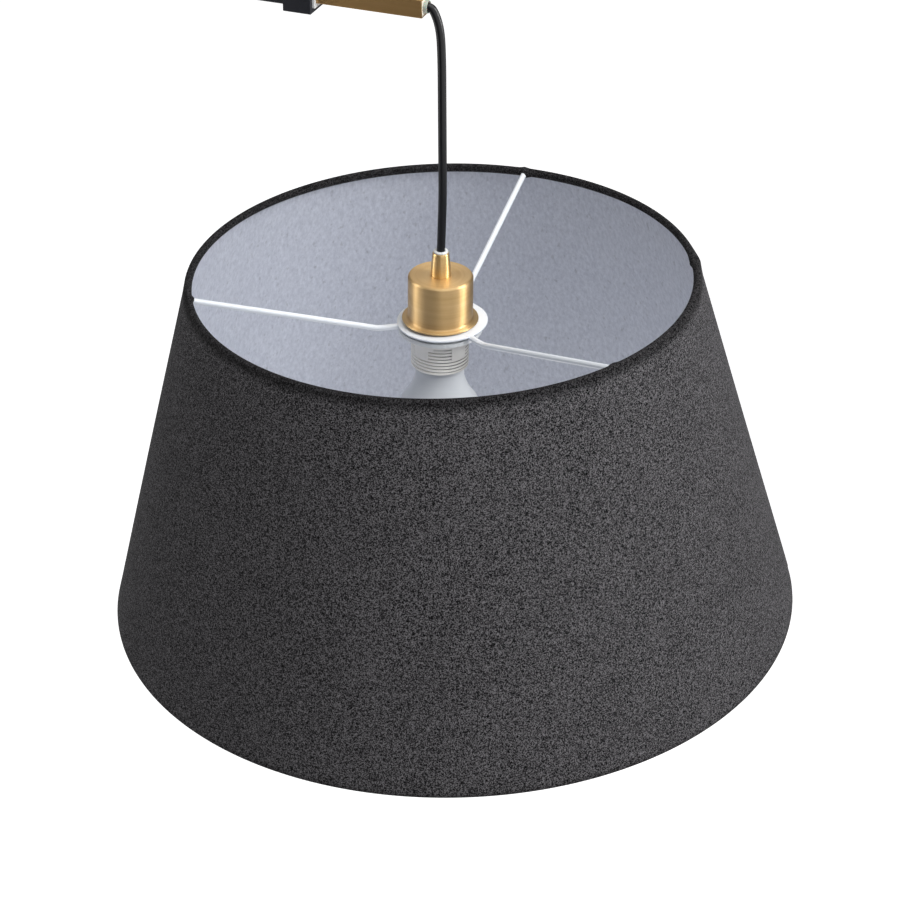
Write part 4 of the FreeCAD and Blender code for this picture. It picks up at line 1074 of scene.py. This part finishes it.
# %% [markdown]
# ## The bush at the arm's end
# The cord leaves by a small bush of natural nylon, pale and slightly green. Its mouth is belled, so that the
# cord can swing without an edge to cut it.

# %% Make the bush
bush = turned(
    "cord_bushing_nylon",
    rounded([
        (3.0, -8.0, 0), (3.6, -8.0, 0.1), (3.6, 0.0, 0), (4.3, 0.0, 0.1), (4.3, 2.7, 0.4), (3.8, 2.7, 0.2),
        (3.25, 2.0, 0.6), (3.03, 0.0, 0.5),
    ]),
    BUSH_NYLON, segments=64, axis=(0, PENDANT_Y + 10, 0), along_arm=True,
)
settle(bush, "cord_bushing")

# %% [markdown]
# ## The thumb screw
# A knurled brass screw on the collar locks the sliding tube. Knurling is many fine ridges, so a node tree
# sets one small ridge at each point of a circle round a turned knob.

# %% Make the thumb screw
CLAMP_Y, KNOB_BASE = -524.5, 13.45
knob = turned(
    "knob",
    rounded([
        (0, -7.1, 0), (2.5, -7.1, 0.3), (2.5, -0.9, 0), (4.0, -0.9, 0.1), (4.0, 0.05, 0), (6.8, 0.05, 0.6),
        (6.8, 8.0, 0.9), (4.2, 8.0, 0.3), (3.9, 7.6, 0.3), (0, 7.6, 0),
    ]),
    BRASS_DRAWN, closed=False, axis=(0, CLAMP_Y, KNOB_BASE),
)
knurl, given = shape_tree("knurl", {"Count": 48, "Knob radius": 0.0068, "Ridge": 0.00034, "Length": 0.0062})
seats = add(knurl, "GeometryNodeMeshCircle", {"Vertices": given["Count"], "Radius": given["Knob radius"]})
rib = add(knurl, "GeometryNodeMeshCylinder", {"Vertices": 8, "Radius": given["Ridge"], "Depth": given["Length"]})
end_tree(knurl, given, add(knurl, "GeometryNodeInstanceOnPoints", {"Points": seats, "Instance": rib}))
ridges = baked("ridges", knurl, BRASS_DRAWN)
ridges.data.transform(Matrix.Translation(Vector((0, CLAMP_Y, KNOB_BASE + 4.0)) * MM))
settle(joined_mesh("clamp_screw_brass", knob, clean(ridges)), "clamp_screw")

# %% [markdown]
# ## What stays as packed
# Everything else is inside: terminals, wires and contacts. Those nodes keep their meshes and get the finish
# of their own material.

# %% Finish the hidden nodes
BY_SLOT = {
    "zinc_steel": ZINC, "white_plastic": NUT_PLASTIC, "black_plastic": SWITCH_PLASTIC, "black_flex": PVC,
    "nickel_contact": NICKEL,
}
kept = [name for name, part in frame["nodes"].items() if not part.hide_render]
for name in kept:
    paint(frame["nodes"][name].data, BY_SLOT[SLOT_OF[name]])
print("kept as packed:", ", ".join(sorted(kept)))

# %% [markdown]
# ## The studio
# The floor is a plain pale sheet nearly two metres down, as the light hangs on a wall. It adds a little
# light of its own to what the lens and reflections see, so that it reads as white and still keeps the
# shadow. A soft box on the right is the key. Only matt surfaces take light from it, and only glossy ones
# from the two tall strips left and right, which give the brass its two upright bands. A wide box hangs
# overhead and a weak one fills from the front. A black card under the lens, that only reflections see,
# keeps the middle of the brass deep, as a photographer would, and three dim grey cards stand behind.


# %% The floor
def aimed(place, along, axis="Z"):
    """The matrix of something at a place, whose own axis points along a direction."""
    return Matrix.Translation(place) @ Vector(along).to_track_quat(axis, "Y").to_matrix().to_4x4()


def stage_plane(name, size, location, facing, material):
    """A stage rectangle whose face looks along a direction."""
    x, y = size[0] / 2, size[1] / 2
    mesh = bpy.data.meshes.new(name)
    mesh.from_pydata([(-x, -y, 0), (x, -y, 0), (x, y, 0), (-x, y, 0)], [], [(0, 1, 2, 3)])
    paint(mesh, material)
    made = new_object(name, mesh)
    made.matrix_world = aimed(location, facing)
    return made


def seen_rays(tree):
    """1 for camera, glossy and transmission rays, and 0 for the rest."""
    path = add(tree, "ShaderNodeLightPath").outputs
    most = {0: path["Is Camera Ray"], 1: path["Is Glossy Ray"]}
    most = {0: add(tree, "ShaderNodeMath", most, operation="MAXIMUM"), 1: path["Is Transmission Ray"]}
    return add(tree, "ShaderNodeMath", most, operation="MAXIMUM")


floor_paint, tree, shader = finish("pale_floor", "#dcdcdc", 0.9)
strength = add(tree, "ShaderNodeMapRange", {"Value": seen_rays(tree), "To Min": 0.42, "To Max": 0.85})
total = add(tree, "ShaderNodeAddShader", {0: shader, 1: add(tree, "ShaderNodeEmission", {"Strength": strength})})
fill(tree.nodes["Material Output"], {"Surface": total})
stage_plane("floor", (30, 30), (0, -0.4, -1.9), (0, 0, 1), floor_paint)


# %% The cards
def around(azimuth, elevation, distance):
    """A place round the shade. Azimuth 0 is the camera's side and grows to the camera's right."""
    a, e = math.radians(azimuth), math.radians(elevation)
    level = -AWAY * math.cos(a) + RIGHT * math.sin(a)
    return VIEW_CENTRE + (level * math.cos(e) + Vector((0, 0, math.sin(e)))) * distance


def card(name, size, azimuth, elevation, distance, material):
    """A card that only reflections see, turned to the shade."""
    place = around(azimuth, elevation, distance)
    made = stage_plane(name, size, place, VIEW_CENTRE - place, material)
    made.visible_camera = made.visible_diffuse = made.visible_shadow = False


card("black_card", (1.1, 1.7), -35, 3, 0.95, finish("black_card", "#060606", 0.9)[0])
for azimuth, elevation, size, glow in (
    (180, 32, (3.4, 1.5), 0.56), (-138, 0, (0.9, 1.2), 0.15), (138, 0, (0.9, 1.2), 0.15)
):
    grey = finish("grey_card", "#050505", 0.9, Emission_Color=(1, 1, 1, 1), Emission_Strength=glow)[0]
    card("grey_card", size, azimuth, elevation, 1.15, grey)


# %% The lights
def soft_box(name, size, watts, azimuth, elevation, distance):
    """A rectangular light round the shade, aimed at it."""
    light = bpy.data.lights.new(name, "AREA")
    light.shape = "RECTANGLE"
    light.size, light.size_y = size
    light.energy = watts
    made = new_object(name, light)
    location = around(azimuth, elevation, distance)
    made.matrix_world = aimed(location, VIEW_CENTRE - location, "-Z")
    print(f"{name}: {watts} W")
    return made


soft_box("key_box", (1.0, 1.3), 29.0, 62, 44, 1.9).visible_glossy = False
for name, watts, azimuth in (("left_strip", 11.0, -94), ("right_strip", 30.0, 85)):
    soft_box(name, (0.36, 1.6), watts, azimuth, 22, 1.8).visible_diffuse = False
soft_box("top_box", (1.8, 1.8), 15.0, 60, 80, 1.8)
soft_box("front_fill", (1.6, 1.2), 4.5, 40, 4, 2.2).visible_glossy = False

world = bpy.data.worlds.new("studio")
world.use_nodes = True
bpy.context.scene.world = world
tree = world.node_tree
strength = add(tree, "ShaderNodeMapRange", {"Value": seen_rays(tree), "To Min": 0.28, "To Max": 1.0})
fill(tree.nodes["Background"], {"Color": (1, 1, 1, 1), "Strength": strength})
bpy.context.scene.view_settings.view_transform = "Standard"
